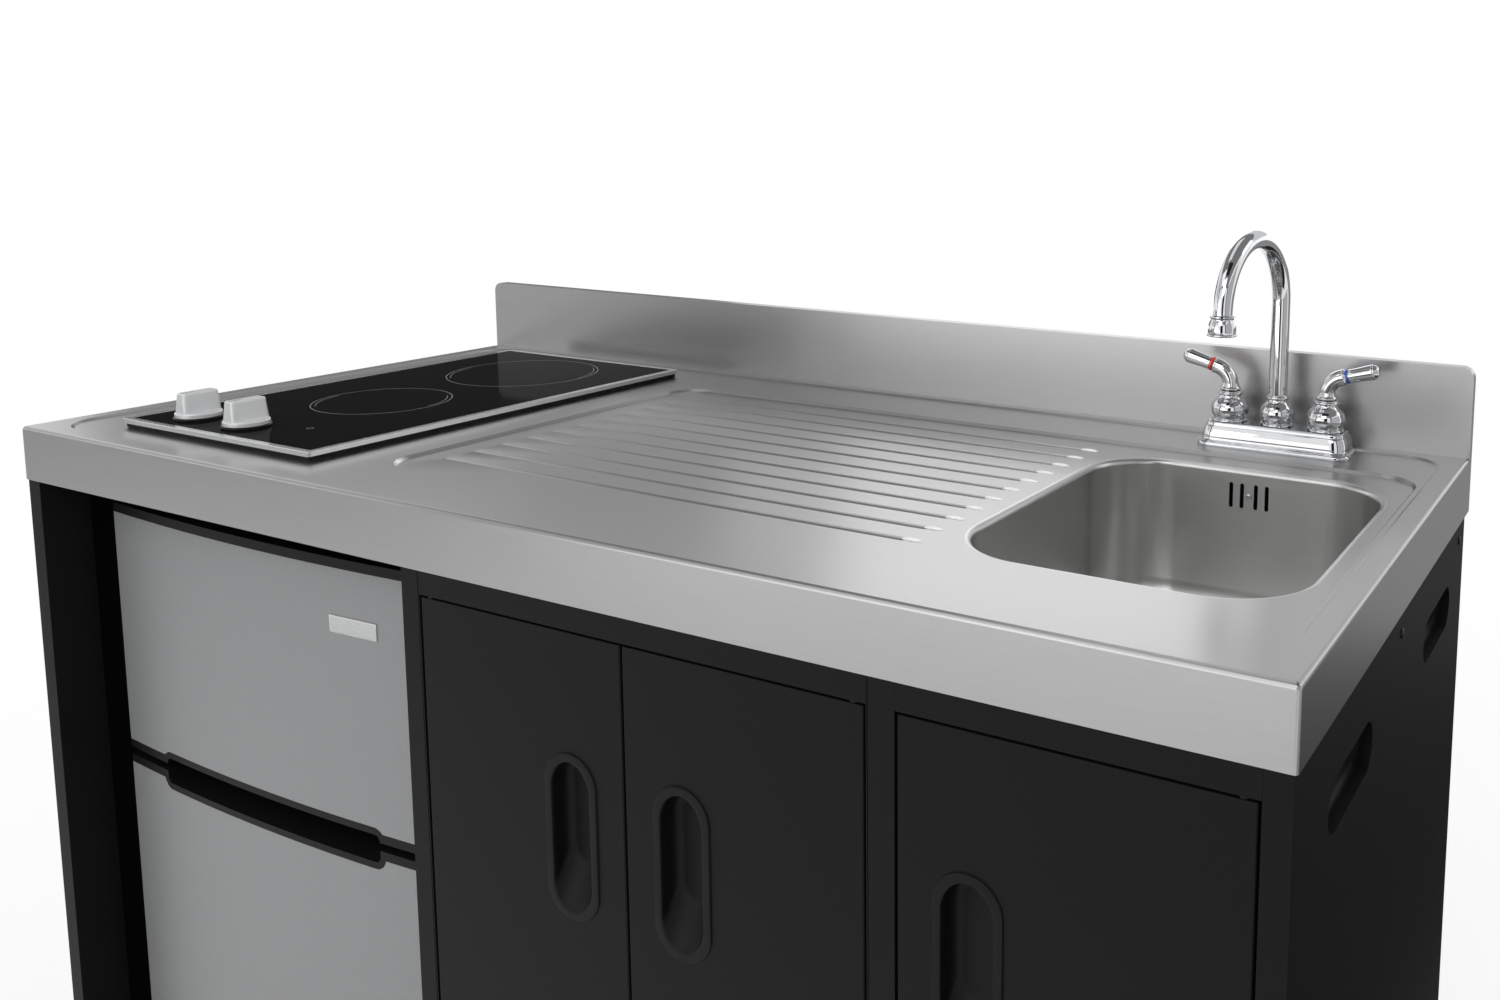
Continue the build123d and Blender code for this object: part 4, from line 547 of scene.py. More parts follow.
class KITCHENETTE_OT_finishes(bpy.types.Operator):
    """Make the materials and give each node its own"""
    bl_idname = "kitchenette.finishes"
    bl_label = "Finishes"

    def execute(self, context):
        looks = context.scene.kitchenette
        steel, tap, hob, cabinet, fridge = looks.steel, looks.tap, looks.hob, looks.cabinet, looks.fridge
        knob = centre_of("right_knob")
        lamp_mark = ((knob.x + 64) * MM, (knob.y + 26) * MM, 3.2 * MM)
        made = {
            "stainless_worktop": brushed_steel("Brushed 304 stainless sheet", steel.sheet_colour, 0.3,
                                               steel.line_pitch, steel.line_length),
            # Lighter base than the worktop steel: painted light on the bowl
            "stainless_bowl": brushed_steel("Satin drawn stainless bowl, painted lighter", steel.bowl_colour_painted_lighter, 0.3,
                                            steel.line_pitch, steel.line_length * 0.6),
            "chrome": polished_metal("Chromium plate", tap.chrome_colour, 0.05),
            # Lightened steel: painted highlight on the hob trim and the door plate
            "hob_trim_steel": brushed_steel("Stainless trim, painted highlight", hob.trim_colour_painted_highlight, 0.2, steel.line_pitch,
                                            steel.line_length),
            "hob_glass": printed_glass("Black ceramic glass", hob.glass_colour, hob.print_colour,
                                       hob.print_width, lamp_mark),
            "knob_silver": coated_metal("Satin silver lacquer", hob.knob_colour, 0.36, 0.5, 0.0007, 0.1,
                                        metallic=0.35, contrast=0.03),
            "black_powder_coat": coated_metal("Black powder coat", cabinet.coat_colour, 0.5, 0.12,
                                              cabinet.grain, 0.25, contrast=0.1),
            "galvanised_steel": spangled_zinc("Galvanised sheet", linear("#A3A6A8")),
            "plated_steel": polished_metal("Bright zinc plate", linear("#B4B7B6"), 0.22),
            "fridge_silver": coated_metal("Silver metallic paint", fridge.door_colour, 0.42, 0.4, fridge.grain,
                                          0.1, metallic=0.25, contrast=0.09),
            "black_plastic": moulded_plastic("Black ABS", linear("#121212"), 0.32, 0.35),
            "white_plastic": moulded_plastic("White polystyrene", linear("#E9E9E6"), 0.35, 0.5, bump=0.05),
            "fridge_shelf": clear_shelf("Toughened glass shelf", linear("#E3EEE9")),
            "index_red": moulded_plastic("Red ABS", tap.hot_colour, 0.25, 0.5),
            "index_blue": moulded_plastic("Blue ABS", tap.cold_colour, 0.25, 0.5),
            "heater_insulation": pressed_fibre("Pressed mineral fibre", linear("#CFC9BC")),
            "compressor_black": coated_metal("Black gloss enamel", linear("#0D0D0D"), 0.2, 0.5, 0.002, 0.1),
            "foot_plastic": moulded_plastic("Grey nylon", linear("#3A3B3C"), 0.45, 0.4),
        }
        FINISH.update({slot: material.name for slot, material in made.items()})
        moulded_plastic("Satin black ABS", linear("#121212"), 0.45, 0.14)
        moulded_plastic("Grey PVC seal", linear("#77787A"), 0.5, 0.4, bump=0.05)
        moulded_plastic("Black rubber", linear("#0C0C0C"), 0.6, 0.3)
        coated_metal("Black oxide screw", linear("#16171A"), 0.3, 0.5, 0.0006, 0.1, metallic=0.6)
        # Near-white and mostly matt so that the flute-end beads carry a painted highlight
        coated_metal("Painted flute end highlight", linear("#F4F4F4"), 0.3, 0.5, 0.002, 0, metallic=0.15)
        polished_metal("Copper tube", linear("#B87333"), 0.22)
        for name, node in frame["nodes"].items():
            node.data.materials.clear()
            node.data.materials.append(made[SLOT_OF[name]])
        return {"FINISHED"}


class KITCHENETTE_OT_worktop(bpy.types.Operator):
    """Dress the worktop sheet and the sink"""
    bl_idname = "kitchenette.worktop"
    bl_label = "Worktop and sink"

    def execute(self, context):
        dressed_copy("worktop", "worktop_sheet", smooth=28, flatten=False)
        dressed_copy("sink_bowl", "sink_bowl_shell", smooth=40, flatten=False)
        dressed_copy("strainer_body", "strainer_cup")
        dressed_copy("strainer_basket", "strainer_basket_cup")
        dressed_copy("drain_tailpiece", "tailpiece_tube")
        dressed_copy("overflow_box", "overflow_cup", 0.0006)
        dressed_copy("overflow_pipe", "overflow_hose", smooth=50)
        self.overflow_screw(context.scene.kitchenette.steel.screw_radius / MM)
        self.flute_ends()
        return {"FINISHED"}

    def overflow_screw(self, radius):
        """The slotted screw in the bowl's rear wall."""
        top = box_mm("sink_bowl")[1]
        x, wall, z = centre_of("sink_bowl").x, top.y - 6, top.z - 27
        profile = [(radius, 0), (radius, 0.5), (radius * 0.93, 1.1), (radius * 0.7, 1.6), (radius * 0.3, 1.8)]
        screw = turned_piece("overflow_screw", profile, facing(x, wall + 0.05, z, (0, -1, 0)), 32)
        cut_from(screw, block_piece("screw_slot_cutter", (x - radius, wall - 2.4, z - 0.4),
                                    (x + radius, wall - 1.2, z + 0.4)))
        finish_piece(screw, "stainless_bowl", material="Bright zinc plate")

    def flute_ends(self):
        """The small drawn beads that close each flute before the bowl, pressed once and copied; their near-white,
        mostly matt colour is a painted highlight.
        """
        clear_selection()
        bpy.ops.mesh.primitive_uv_sphere_add(segments=24, ring_count=14, radius=1)
        bead = bpy.context.object
        bead.scale = (0.0095, 0.0034, 0.0022)
        bpy.ops.object.transform_apply(location=True, rotation=True, scale=True)
        for vertex in bead.data.vertices:
            vertex.select = vertex.co.x > 0.004
        bpy.ops.object.mode_set(mode="EDIT")
        bpy.ops.mesh.select_mode(type="VERT")
        bpy.ops.transform.resize(value=(1, 0.7, 0.8), center_override=(0.005, 0, 0))
        bpy.ops.transform.translate(value=(0.0006, 0.0011, 0), use_proportional_edit=True,
                                    proportional_size=0.006, proportional_edit_falloff="SMOOTH")
        bpy.ops.object.mode_set(mode="OBJECT")
        beads = []
        for number in range(FLUTE_COUNT):
            copy = bead.copy()
            copy.data = bead.data.copy()
            bpy.context.scene.collection.objects.link(copy)
            place(copy, at(FLUTE_END_X, FLUTE_FIRST_Y + FLUTE_PITCH * number, FLUTE_END_Z))
            beads.append(copy)
        bpy.data.objects.remove(bead)
        # The beads' near-white material is a painted highlight
        finish_piece(join("flute_end_beads", beads), "stainless_worktop", material="Painted flute end highlight",
                     smooth=60)


# Radii and heights of the tap's turned pieces, and insets and heights of its base, in millimetres
BELL = [(17.4, 0.0), (18.7, 0.5), (18.9, 1.6), (18.3, 2.6), (16.9, 3.2), (16.8, 4.0), (17.8, 5.4), (18.9, 8.0),
        (19.45, 11.0), (19.4, 14.0), (18.6, 17.0), (16.9, 19.8), (14.6, 22.0), (12.6, 23.8), (11.5, 25.4),
        (11.2, 27.0), (12.4, 27.5), (12.95, 28.4), (13.0, 29.4), (12.4, 30.4), (11.3, 30.9), (11.2, 31.4),
        (10.4, 31.9)]
BASE_STEPS = [(0.6, 0), (0.15, 0.7), (0.0, 2.0), (0.15, 3.3), (0.8, 4.5), (1.9, 5.3), (3.2, 5.8), (4.0, 6.6),
              (4.4, 7.6), (4.5, 9.4), (4.7, 11.4), (5.1, 13.6), (5.6, 15.8), (6.2, 17.8), (6.6, 19.2), (7.0, 20.2),
              (7.6, 20.6), (8.0, 20.9), (8.2, 22.0), (8.4, 23.6), (9.0, 24.6), (10.2, 25.0)]
AERATOR = [(10.6, -3.0), (10.9, -7.2), (11.6, -8.0), (13.4, -8.0), (14.2, -7.6), (14.4, -6.8), (14.0, -6.0),
           (13.2, -5.4), (13.3, -4.6), (13.5, -2.0), (13.2, 1.6), (12.4, 4.6), (11.2, 7.0), (10.9, 8.3), (11.4, 9.2),
           (12.4, 10.0), (12.2, 11.0), (10.6, 11.8), (9.7, 12.0)]
NECK = [(10.2, 0.0), (10.9, 0.4), (11.1, 1.4), (10.8, 2.3), (9.8, 2.8), (9.4, 4.0), (8.8, 5.6), (8.3, 7.0)]
GRIP = [(8.0, 0.6), (8.35, 1.0), (8.4, 2.4), (8.0, 3.0), (7.3, 3.4), (6.1, 4.6), (6.1, 7.4), (6.9, 7.9), (7.0, 9.0),
        (6.8, 10.0), (6.9, 14.0), (7.3, 22.0), (7.8, 30.0), (8.0, 31.4), (7.9, 32.2), (7.3, 32.7), (7.4, 33.2),
        (7.2, 34.0), (5.8, 36.0), (3.9, 37.6), (2.2, 38.0)]
INDEX_RING = [(5.9, 4.9), (7.0, 5.0), (7.35, 5.3), (7.35, 6.6), (7.0, 6.9), (5.9, 7.0)]
SPOUT_RADIUS, SPOUT_BEND, SPOUT_DROP = 9.5, 68, 10
SPOUT_TURN = math.radians(7)
ELBOW_BEND, ELBOW_SWEEP, ELBOW_RISE = 20, 75, 4.0


class KITCHENETTE_OT_tap(bpy.types.Operator):
    """Model the tap: stepped base, bells, gooseneck spout, levers and aerator"""
    bl_idname = "kitchenette.tap"
    bl_label = "Tap"

    def execute(self, context):
        steps = context.scene.kitchenette.tap.round_steps
        low, high = box_mm("tap_base")
        middle = centre_of("tap_base")
        half = (high - low) / 2
        clear_selection()
        bpy.ops.mesh.primitive_plane_add(size=2, location=(0, 0, 0))
        base = named(context.object, "tap_base_plate")
        base.scale = (half.x * MM, half.y * MM, 1)
        bpy.ops.object.transform_apply()
        open_all(base)
        bpy.ops.mesh.bevel(offset=16 * MM, segments=14, affect="VERTICES")
        grow_profile(base, BASE_STEPS, half.x, half.y)
        place(base, at(middle.x, middle.y, low.z))
        finish_piece(base, "chrome", smooth=50, stands_for=("tap_base",))
        for side, name, scale in ((-1, "hot", 1.0), (0, "spout", 0.9), (1, "cold", 1.0)):
            bell = turned_piece(name + "_bell", [(wide * scale, height) for wide, height in BELL],
                                at(middle.x + side * HANDLE_REACH, middle.y, low.z + 24.9), steps)
            finish_piece(bell, "chrome", smooth=50)
        self.spout(middle, low.z, steps)
        for side, body, ring in ((-1, "hot_handle", "hot_index_ring"), (1, "cold_handle", "cold_index_ring")):
            self.handle(side, body, ring, middle, low.z, steps)
        dressed_copy("tap_shanks", "tap_shank_threads", 0.0003)
        return {"FINISHED"}

    def spout(self, middle, floor, steps):
        """The gooseneck, the aerator's bell and its screen."""
        foot = floor + 20.3
        arch = box_mm("tap_spout")[1].z - SPOUT_RADIUS - SPOUT_BEND
        turn = Matrix.Rotation(-math.pi / 2 - SPOUT_TURN, 4, "Z")
        pipe = spun_bar("tap_spout_pipe", SPOUT_RADIUS, (arch - foot, SPOUT_DROP), SPOUT_BEND, 180,
                        at(middle.x, middle.y, foot) @ turn, 56)
        finish_piece(pipe, "chrome", "tap_spout", smooth=60, stands_for=("tap_spout",))
        mouth = at(middle.x - 2 * SPOUT_BEND * math.sin(SPOUT_TURN),
                   middle.y - 2 * SPOUT_BEND * math.cos(SPOUT_TURN), arch - SPOUT_DROP)
        aerator = turned_piece("aerator_bell", AERATOR, mouth, steps)
        finish_piece(aerator, "chrome", "tap_spout", smooth=50, stands_for=("aerator",))
        screen = turned_piece("aerator_screen", [(10.5, -4.2), (10.5, -3.4), (9.0, -3.2)], mouth, 32)
        finish_piece(screen, "chrome", "tap_spout", material="Bright zinc plate")

    def handle(self, side, body, ring, middle, floor, steps):
        """A lever: its neck, elbow, colour ring and tapered grip with a conical tip."""
        hub = at(middle.x + side * HANDLE_REACH, middle.y, floor + 57.3)
        if side < 0:
            hub = hub @ Matrix.Rotation(math.pi, 4, "Z")
        neck = turned_piece(body + "_neck", NECK, hub, steps)
        elbow = spun_bar(body + "_elbow", 8.0, (ELBOW_RISE, 1.2), ELBOW_BEND, ELBOW_SWEEP, hub, 20)
        sweep = math.radians(ELBOW_SWEEP)
        bend_end = at(ELBOW_BEND * (1 - math.cos(sweep)), 0, ELBOW_RISE + ELBOW_BEND * math.sin(sweep))
        along = hub @ bend_end @ Matrix.Rotation(sweep, 4, "Y")
        grip = turned_piece(body + "_grip", GRIP, along, steps)
        finish_piece(join(body + "_lever", [neck, elbow, grip]), "chrome", body, smooth=50, stands_for=(body,))
        band = turned_piece(body + "_ring", INDEX_RING, along, steps)
        finish_piece(band, SLOT_OF[ring], body, smooth=50, stands_for=(ring,))


class KITCHENETTE_OT_hob(bpy.types.Operator):
    """Dress the hob: trim, seal, knobs and heaters"""
    bl_idname = "kitchenette.hob"
    bl_label = "Hob"

    def execute(self, context):
        dressed_copy("hob_frame", "hob_trim", 0.0004)
        low, high = box_mm("hob_frame")
        seal = block_piece("hob_seal", (low.x + 3, low.y + 3, low.z - 4.6), (high.x - 3, high.y - 3, low.z + 0.05))
        cut_from(seal, block_piece("seal_cutter", (low.x + 8.5, low.y + 8.5, low.z - 12),
                                   (high.x - 8.5, high.y - 8.5, low.z + 12)))
        soften(seal, 0.0006)
        finish_piece(seal, "black_plastic", material="Black rubber")
        for knob in ("left_knob", "right_knob"):
            dressed_copy(knob, knob + "_cap", 0.0005, smooth=40)
            middle = centre_of(knob)
            low, high = box_mm(knob)
            bezel = turned_piece(knob + "_bezel", [(22.9, 0), (23.4, 0.3), (23.4, 1.7), (22.8, 2.3), (21.0, 2.4)],
                                 at(middle.x, middle.y, low.z - 2.7))
            finish_piece(bezel, "black_plastic")
            pointer = block_piece(knob + "_pointer", (middle.x - 0.6, middle.y - 17, high.z - 0.1),
                                  (middle.x + 0.6, middle.y - 4, high.z + 0.12))
            soften(pointer, 0.0001, 1)
            finish_piece(pointer, "black_plastic", knob)
        for node, ending, softness in (("left_regulator", "_case", 0.0008), ("right_regulator", "_case", 0.0008),
                                       ("front_element", "_dish", 0), ("rear_element", "_dish", 0),
                                       ("left_knob_shaft", "_bar", 0.0002), ("right_knob_shaft", "_bar", 0.0002)):
            dressed_copy(node, node + ending, softness)
        dressed_copy("hob_tray", "hob_pan", 0.0005)
        return {"FINISHED"}


class KITCHENETTE_OT_cabinet(bpy.types.Operator):
    """Dress the cabinet: panels, grips, shelves, feet and screws"""
    bl_idname = "kitchenette.cabinet"
    bl_label = "Cabinet"

    def execute(self, context):
        looks = context.scene.kitchenette.cabinet
        for node in ("side_panel_left", "side_panel_right", "fridge_bay_panel", "sink_bay_panel", "front_rail",
                     "floor_pan", "cabinet_shelf"):
            dressed_copy(node, node + "_sheet", looks.edge_softness)
        dressed_copy("leveller_feet", "leveller_feet_pads", 0.0004)
        self.screws(looks.screw_radius / MM)
        return {"FINISHED"}

    def screws(self, radius):
        """The slotted screws of the side and back panels."""
        left, right = box_mm("side_panel_left")[0].x, box_mm("side_panel_right")[1].x
        back = box_mm("back_panel")[1].y
        places = [(x, y, z, direction) for x, direction in ((left, (-1, 0, 0)), (right, (1, 0, 0)))
                  for y in (-2, 274) for z in (837, 70)]
        places += [(x, back, z, (0, 1, 0)) for x in (-70, 130, 360, 400, 650) for z in (60, 430, 840)]
        head = [(radius, 0), (radius, 0.5), (radius * 0.94, 1.0), (radius * 0.75, 1.5), (radius * 0.4, 1.8)]
        heads = []
        for number, (x, y, z, direction) in enumerate(places):
            screw = turned_piece(f"panel_screw_{number}", head, facing(x, y, z, direction), 24)
            across = Vector((abs(direction[1]), abs(direction[0]), 0))
            along = Vector([abs(value) for value in direction])
            centre = Vector((x, y, z)) + Vector(direction) * head[-1][1]
            reach = across * radius * 0.62 + Vector((0, 0, 0.5)) + along * 1.2
            cut_from(screw, block_piece("screw_cutter", centre - reach, centre + reach))
            heads.append(screw)
        finish_piece(join("panel_screws", heads), "plated_steel", material="Black oxide screw")


class KITCHENETTE_OT_doors(bpy.types.Operator):
    """Dress the cabinet doors, their pulls and pins"""
    bl_idname = "kitchenette.doors"
    bl_label = "Cabinet doors"

    def execute(self, context):
        softness = context.scene.kitchenette.cabinet.edge_softness
        for door in ("left_door", "right_door", "sink_door"):
            dressed_copy(door, door + "_panel", softness)
            self.pull(door)
            dressed_copy(door + "_pins", door + "_pin_rods", 0.0003, material="Black oxide screw")
        return {"FINISHED"}

    def pull(self, door):
        """A finger cup in its door: a low ring, straight sides and a ramp at its lower end."""
        low, high = box_mm(door + "_pull")
        middle = centre_of(door + "_pull")
        half_x, half_z = (high.x - low.x) / 2, (high.z - low.z) / 2
        cup = disc_piece(door + "_pull_cup", half_x, 64)
        for side in (-1, 1):
            open_some(cup, "VERT", lambda vertex: vertex.co.y * side > 0.00001)
            bpy.ops.transform.translate(value=(0, side * (half_z - half_x) * MM, 0))
        # The inset of the sides, the height, and the insets of the upper and the lower end
        steps = [(0.0, 0.0, 0.0, 0.0), (0.2, 1.0, 0.2, 0.2), (0.9, 1.6, 0.9, 0.9), (6.2, 1.6, 6.2, 6.2),
                 (7.4, 1.3, 7.4, 7.4), (8.0, 0.4, 8.0, 8.2), (8.2, -1.0, 8.3, 10.5), (8.3, -4.0, 8.6, 16.0),
                 (8.5, -7.0, 8.9, 21.5), (8.9, -10.0, 9.4, 27.0), (9.8, -12.6, 10.4, 32.0),
                 (11.4, -14.8, 12.0, 36.5), (13.8, -16.2, 14.6, 40.5), (17.0, -16.9, 18.0, 45.0)]
        open_all(cup, "FACE")
        for (side, rise, top, foot), (next_side, next_rise, next_top, next_foot) in zip(steps, steps[1:]):
            raise_faces(0, 0, next_rise - rise)
            ratio_x = (half_x - next_side) / (half_x - side)
            length = 2 * half_z - top - foot
            next_length = 2 * half_z - next_top - next_foot
            bpy.ops.transform.resize(value=(ratio_x, next_length / length, 1), center_override=(0, 0, 0))
            shift = (next_foot - next_top) / 2 - (foot - top) / 2 * next_length / length
            bpy.ops.transform.translate(value=(0, shift * MM, 0))
        open_some(cup, "FACE", lambda face: face.index == 0 and len(face.vertices) > 4 and face.center.z < 0.0001)
        bpy.ops.mesh.delete(type="FACE")
        close_up(cup, outward=False)
        apply_modifier(cup, "SOLIDIFY", thickness=0.0016, offset=-1)
        place(cup, at(middle.x, box_mm(door)[0].y, middle.z) @ Matrix.Rotation(math.pi / 2, 4, "X"))
        finish_piece(cup, "black_plastic", door, "Satin black ABS", 40, (door + "_pull",))


class KITCHENETTE_OT_fridge(bpy.types.Operator):
    """Dress the fridge: doors, trims, seals, liners, plate and compressor"""
    bl_idname = "kitchenette.fridge"
    bl_label = "Fridge"

    def execute(self, context):
        for node in ("freezer_door", "fridge_door"):
            dressed_copy(node, node + "_skin", 0.0006, smooth=30)
        for node in ("freezer_trim", "fridge_trim"):
            dressed_copy(node, node + "_strip", 0.0006, smooth=30, material="Satin black ABS")
        for node in ("freezer_liner", "fridge_liner", "freezer_door_liner", "fridge_door_liner"):
            dressed_copy(node, node + "_moulding", 0.0012)
        for node, name, softness in (("fridge_shelves", "fridge_shelf_panes", 0.0008),
                                     ("thermostat_dial", "thermostat_knob", 0.0008),
                                     ("compressor", "compressor_can", 0.0008),
                                     ("fridge_hinges", "fridge_hinge_plates", 0.0003)):
            dressed_copy(node, name, softness)
        for node in ("freezer_door", "fridge_door"):
            self.seal(node)
        self.plate()
        self.tubes()
        return {"FINISHED"}

    def seal(self, node):
        """The magnetic seal between a door and the case."""
        low, high = box_mm(node + "_liner")
        back, case = box_mm(node)[1].y + 3, box_mm("fridge_case")[0].y
        seal = block_piece(node + "_seal", (low.x + 8, back + 0.05, low.z + 8), (high.x - 8, case - 0.1, high.z - 8))
        cut_from(seal, block_piece("seal_cutter", (low.x + 21, back - 5, low.z + 21),
                                   (high.x - 21, case + 5, high.z - 21)))
        soften(seal, 0.0012, 3)
        finish_piece(seal, "black_plastic", node, material="Grey PVC seal")

    def tubes(self):
        """The compressor's two copper tubes, bent upwards."""
        low = box_mm("compressor")[0]
        can = centre_of("compressor")
        for name, radius, side, height in (("suction_tube", 4.0, 1, 78), ("discharge_tube", 2.6, -1, 66)):
            turn = Matrix.Rotation(side * math.pi / 2, 4, "Y") @ Matrix.Rotation((side + 1) * math.pi / 2, 4, "Z")
            tube = spun_bar(name, radius, (46, 121 - height), 14, 90,
                            at(can.x + side * 48, can.y, low.z + height) @ turn, 16)
            finish_piece(tube, "plated_steel", material="Copper tube", smooth=60)

    def plate(self):
        """The small bare plate near the top of the freezer door, following its bow."""
        low, high = box_mm("freezer_door")
        middle = centre_of("freezer_door")
        left, right, bottom, top = -265, -202, 753, 770
        half = (high.x - low.x) / 2
        bow = 10.0
        radius = (half * half + bow * bow) / (2 * bow)

        def face_y(x):
            """Where the bowed face of the door lies at x."""
            return low.y + radius - math.sqrt(radius * radius - (x - middle.x) ** 2)

        slope = math.atan2(face_y(right) - face_y(left), right - left)
        x, z = (left + right) / 2, (top + bottom) / 2
        half_w, half_h = (right - left) / 2, (top - bottom) / 2
        plate = block_piece("door_plate", (-half_w, -1.1, -half_h), (half_w, 0.35, half_h))
        open_some(plate, "FACE", lambda face: face.normal.y < -0.9)
        bpy.ops.mesh.inset(thickness=0.0012)
        bpy.ops.transform.translate(value=(0, 0.0003, 0))
        soften(plate, 0.0003, 2)
        place(plate, at(x, face_y(x), z) @ Matrix.Rotation(slope, 4, "Z"))
        # The plate takes the trim's steel, lightened as a painted highlight
        finish_piece(plate, "hob_trim_steel", "freezer_door")


# Each card's name, place, target, width, height and level, in metres
CARDS = (
    ("grey_ceiling", (0.0, 0.0, 4.2), (0.0, 0.0, 0.0), 9.0, 9.0, 0.22),
    ("dark_ceiling_front", (0.9, -1.5, 4.0), (0.9, -1.5, 0.0), 2.0, 1.4, 0.02),
    ("grey_wall_behind", (-1.2, 3.2, 1.25), (-1.2, 0, 1.25), 9.0, 1.5, 1.3),
    ("light_strip_behind", (-1.2, 3.05, 2.35), (-0.2, 0, 0.9), 1.5, 0.6, 2.4),
    ("grey_wall_behind_high", (-0.6, 3.6, 2.9), (-0.6, 0, 1.0), 8.0, 1.9, 0.72),
    ("dark_wall_behind_hob", (-2.95, 2.0, 1.45), (-0.7, 0, 0.92), 2.0, 1.0, 0.12),
    ("grey_wall_behind_right", (1.6, 1.9, 0.5), (0.7, 0, 0.6), 2.4, 1.0, 0.3),
    ("grey_floor_front", (-1.0, -2.1, 0.004), (-1.0, -2.1, 1.0), 4.0, 1.3, 0.58),
    ("light_wall_front", (-1.5, -4.2, 0.45), (-1.5, 0, 0.45), 4.2, 0.9, 2.2),
    ("light_ceiling_front", (-1.25, -2.4, 3.9), (-1.25, -2.4, 0.0), 1.9, 2.2, 1.3),
    ("grey_ceiling_left", (-3.7, -2.4, 3.9), (-3.7, -2.4, 0.0), 3.0, 2.8, 0.6),
    ("grey_wall_left_high", (-3.7, -1.35, 2.95), (-0.3, -0.3, 0.9), 2.0, 2.0, 0.6),
    ("light_panel_key", (0.6, -3.0, 3.1), (0.0, 0.0, 0.8), 1.8, 1.8, 2.0),
    ("light_panel_rear_right", (2.6, 1.6, 2.6), (0.3, 0.0, 0.8), 1.2, 1.2, 1.4),
    ("light_ceiling_right", (-0.5, 0.9, 4.1), (-0.5, 0.9, 0.0), 1.3, 2.8, 0.9),
    ("light_wall_front_high", (-2.6, -4.2, 1.45), (-0.5, 0.0, 0.95), 5.0, 1.1, 1.5),
    ("light_panel_front", (-1.2, -3.6, 2.0), (0.5, -0.3, 0.9), 0.9, 0.5, 3.0),
    ("dark_floor_right", (1.65, 0.6, 0.004), (1.65, 0.6, 1.0), 1.8, 3.2, 0.02),
    ("grey_wall_right", (3.4, -0.6, 1.4), (0.5, 0, 1.0), 3.4, 2.6, 0.5),
    ("grey_wall_left", (-3.2, -1.8, 0.5), (0, 0, 0.8), 2.4, 1.1, 0.42),
    ("dark_wall_front", (1.4, -3.4, 1.4), (0.5, 0.2, 1.0), 1.2, 2.8, 0.01),
    ("dark_strip_left", (-2.6, -2.6, 1.7), (0.5, 0.2, 1.0), 0.5, 2.6, 0.02),
    ("dark_strip_right", (2.6, -1.9, 1.5), (0.5, 0.2, 1.0), 0.3, 2.6, 0.03)
)
CAMERA_PLACE = (0.8777, -1.0488, 1.2358)
CAMERA_YAW, CAMERA_PITCH, CAMERA_ROLL = 26.776, -7.234, 0.687
CAMERA_LENS, CAMERA_SHIFT_X, CAMERA_SHIFT_Y = 31.685, -0.19, -0.135


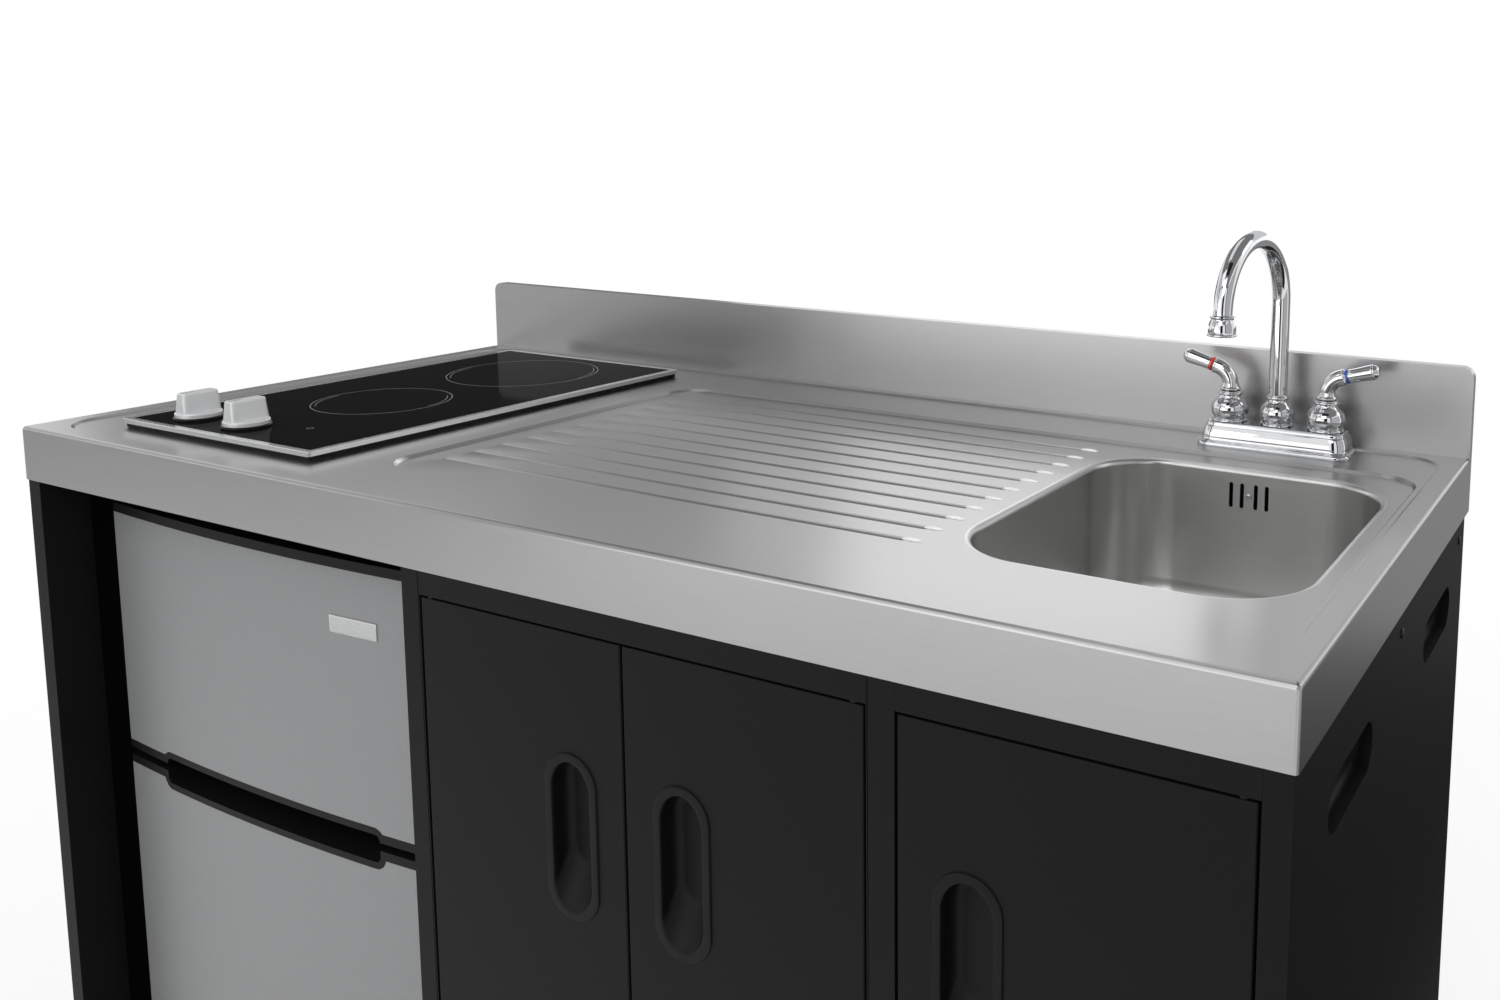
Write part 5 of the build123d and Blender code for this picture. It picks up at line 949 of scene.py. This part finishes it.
class KITCHENETTE_OT_stage(bpy.types.Operator):
    """Set the pale floor, the soft studio light and the camera"""
    bl_idname = "kitchenette.stage"
    bl_label = "Stage"

    def execute(self, context):
        looks = context.scene.kitchenette.stage
        context.scene.view_settings.view_transform = "Standard"
        clear_selection()
        bpy.ops.mesh.primitive_plane_add(size=40, location=(0, 0, 0))
        floor = context.object
        floor.name = "studio_floor"
        floor.data.materials.append(self.seamless("Pale studio floor", looks.floor_colour))
        self.surroundings(context.scene, looks.ambient)
        for name, spot, target, size, power in (
                ("key_softbox", (0.6, -3.0, 3.1), (0.0, 0.0, 0.8), 1.8, looks.key_power),
                ("fill_softbox", (-3.2, -1.2, 2.6), (-0.3, 0.0, 0.8), 1.6, looks.fill_power),
                ("rear_softbox", (2.6, 1.6, 2.6), (0.3, 0.0, 0.8), 1.2, looks.rear_power)):
            self.softbox(name, spot, target, size, power)
        for card in CARDS:
            self.card(*card)
        bpy.ops.object.camera_add()
        camera = context.object
        camera.name = "photo_camera"
        camera.data.lens = CAMERA_LENS
        camera.data.sensor_width = 36.0
        camera.data.shift_x = CAMERA_SHIFT_X
        camera.data.shift_y = CAMERA_SHIFT_Y
        camera.data.clip_start = 0.01
        camera.matrix_world = Matrix.Translation(CAMERA_PLACE)
        for angle, axis in ((CAMERA_YAW, "Z"), (90 + CAMERA_PITCH, "X"), (CAMERA_ROLL, "Z")):
            camera.matrix_world = camera.matrix_world @ Matrix.Rotation(math.radians(angle), 4, axis)
        context.scene.camera = camera
        return {"FINISHED"}

    def surroundings(self, scene, ambient):
        """An even light from all sides that is pure white where it is seen directly."""
        world = bpy.data.worlds.new("Soft white studio")
        world.use_nodes = True
        scene.world = world
        tree = world.node_tree
        tree.nodes.clear()
        level = add_node(tree, "ShaderNodeMapRange", {"Value": seen_directly(tree), "To Min": ambient,
                                                      "To Max": 1.0})
        light = add_node(tree, "ShaderNodeBackground", {"Strength": level.outputs["Result"],
                                                        "Color": (1, 1, 1, 1)})
        add_node(tree, "ShaderNodeOutputWorld", {"Surface": light.outputs[0]})

    def seamless(self, name, colour):
        """A pale matt floor that looks white to the camera and in reflections, and keeps its shadow."""
        material, tree, shader, place_at = start_material(name, colour, 0.0, 0.9)
        vary(tree, shader, noise(tree, place_at, 300.0), colour, 0.99, 1.01, 0.85, 0.95, 0, 0)
        away = add_node(tree, "ShaderNodeVectorMath", {0: place_at}, operation="LENGTH")
        fade = add_node(tree, "ShaderNodeMapRange", {"Value": away.outputs["Value"], "From Min": 0.9,
                                                     "From Max": 2.6, "To Min": 0.8, "To Max": 1.0})
        share = maths(tree, "MULTIPLY", seen_directly(tree), fade.outputs["Result"])
        white = add_node(tree, "ShaderNodeEmission", {"Color": (1, 1, 1, 1), "Strength": 1.0})
        mix = add_node(tree, "ShaderNodeMixShader", {"Fac": share, 1: shader.outputs[0], 2: white.outputs[0]})
        tree.links.new(mix.outputs[0], tree.nodes["Material Output"].inputs["Surface"])
        return material

    def softbox(self, name, spot, target, size, power):
        """A large square area lamp turned towards a point; mirrors show a card in its place."""
        bpy.ops.object.light_add(type="AREA", location=spot)
        lamp = bpy.context.object
        lamp.name = name
        lamp.data.shape = "SQUARE"
        lamp.data.size = size
        lamp.data.energy = power
        lamp.visible_camera = False
        lamp.visible_glossy = False
        lamp.rotation_euler = (Vector(target) - Vector(spot)).to_track_quat("-Z", "Y").to_euler()

    def card(self, name, spot, target, width, height, level):
        """A lit card that only mirrors show, which gives polished and brushed metal its light and dark bands."""
        bpy.ops.mesh.primitive_plane_add(size=1, location=spot)
        card = bpy.context.object
        card.name = name
        card.scale = (width, height, 1)
        card.rotation_euler = (Vector(target) - Vector(spot)).to_track_quat("Z", "Y").to_euler()
        card.visible_camera = False
        card.visible_diffuse = False
        card.visible_shadow = False
        card.visible_transmission = False
        material, tree = start_material(name + "_backlit_acrylic", (level, level, level, 1), 0.0, 0.9)[:2]
        glow = add_node(tree, "ShaderNodeEmission", {"Color": (level, level, level, 1), "Strength": 1.0})
        tree.links.new(glow.outputs[0], tree.nodes["Material Output"].inputs["Surface"])
        card.data.materials.append(material)


class KITCHENETTE_PT_panel(bpy.types.Panel):
    """Buttons for each group of pieces"""
    bl_idname = "KITCHENETTE_PT_panel"
    bl_label = "Kitchenette"
    bl_space_type = "VIEW_3D"
    bl_region_type = "UI"
    bl_category = "Kitchenette"

    def draw(self, context):
        for operator in OPERATORS:
            self.layout.operator(operator.bl_idname)


OPERATORS = (KITCHENETTE_OT_finishes, KITCHENETTE_OT_stage, KITCHENETTE_OT_worktop, KITCHENETTE_OT_tap,
             KITCHENETTE_OT_hob, KITCHENETTE_OT_cabinet, KITCHENETTE_OT_doors, KITCHENETTE_OT_fridge)
GROUPS = (SteelSettings, TapSettings, HobSettings, CabinetSettings, FridgeSettings, StageSettings,
          KitchenetteSettings)


def register():
    for kind in GROUPS + OPERATORS + (KITCHENETTE_PT_panel,):
        bpy.utils.register_class(kind)
    bpy.types.Scene.kitchenette = PointerProperty(type=KitchenetteSettings)


def unregister():
    del bpy.types.Scene.kitchenette
    for kind in reversed(GROUPS + OPERATORS + (KITCHENETTE_PT_panel,)):
        bpy.utils.unregister_class(kind)


def main():
    register()
    bpy.ops.kitchenette.finishes()
    bpy.ops.kitchenette.stage()
    bpy.ops.kitchenette.worktop()
    bpy.ops.kitchenette.tap()
    bpy.ops.kitchenette.hob()
    bpy.ops.kitchenette.cabinet()
    bpy.ops.kitchenette.doors()
    bpy.ops.kitchenette.fridge()


if __name__ == "__main__":
    main()
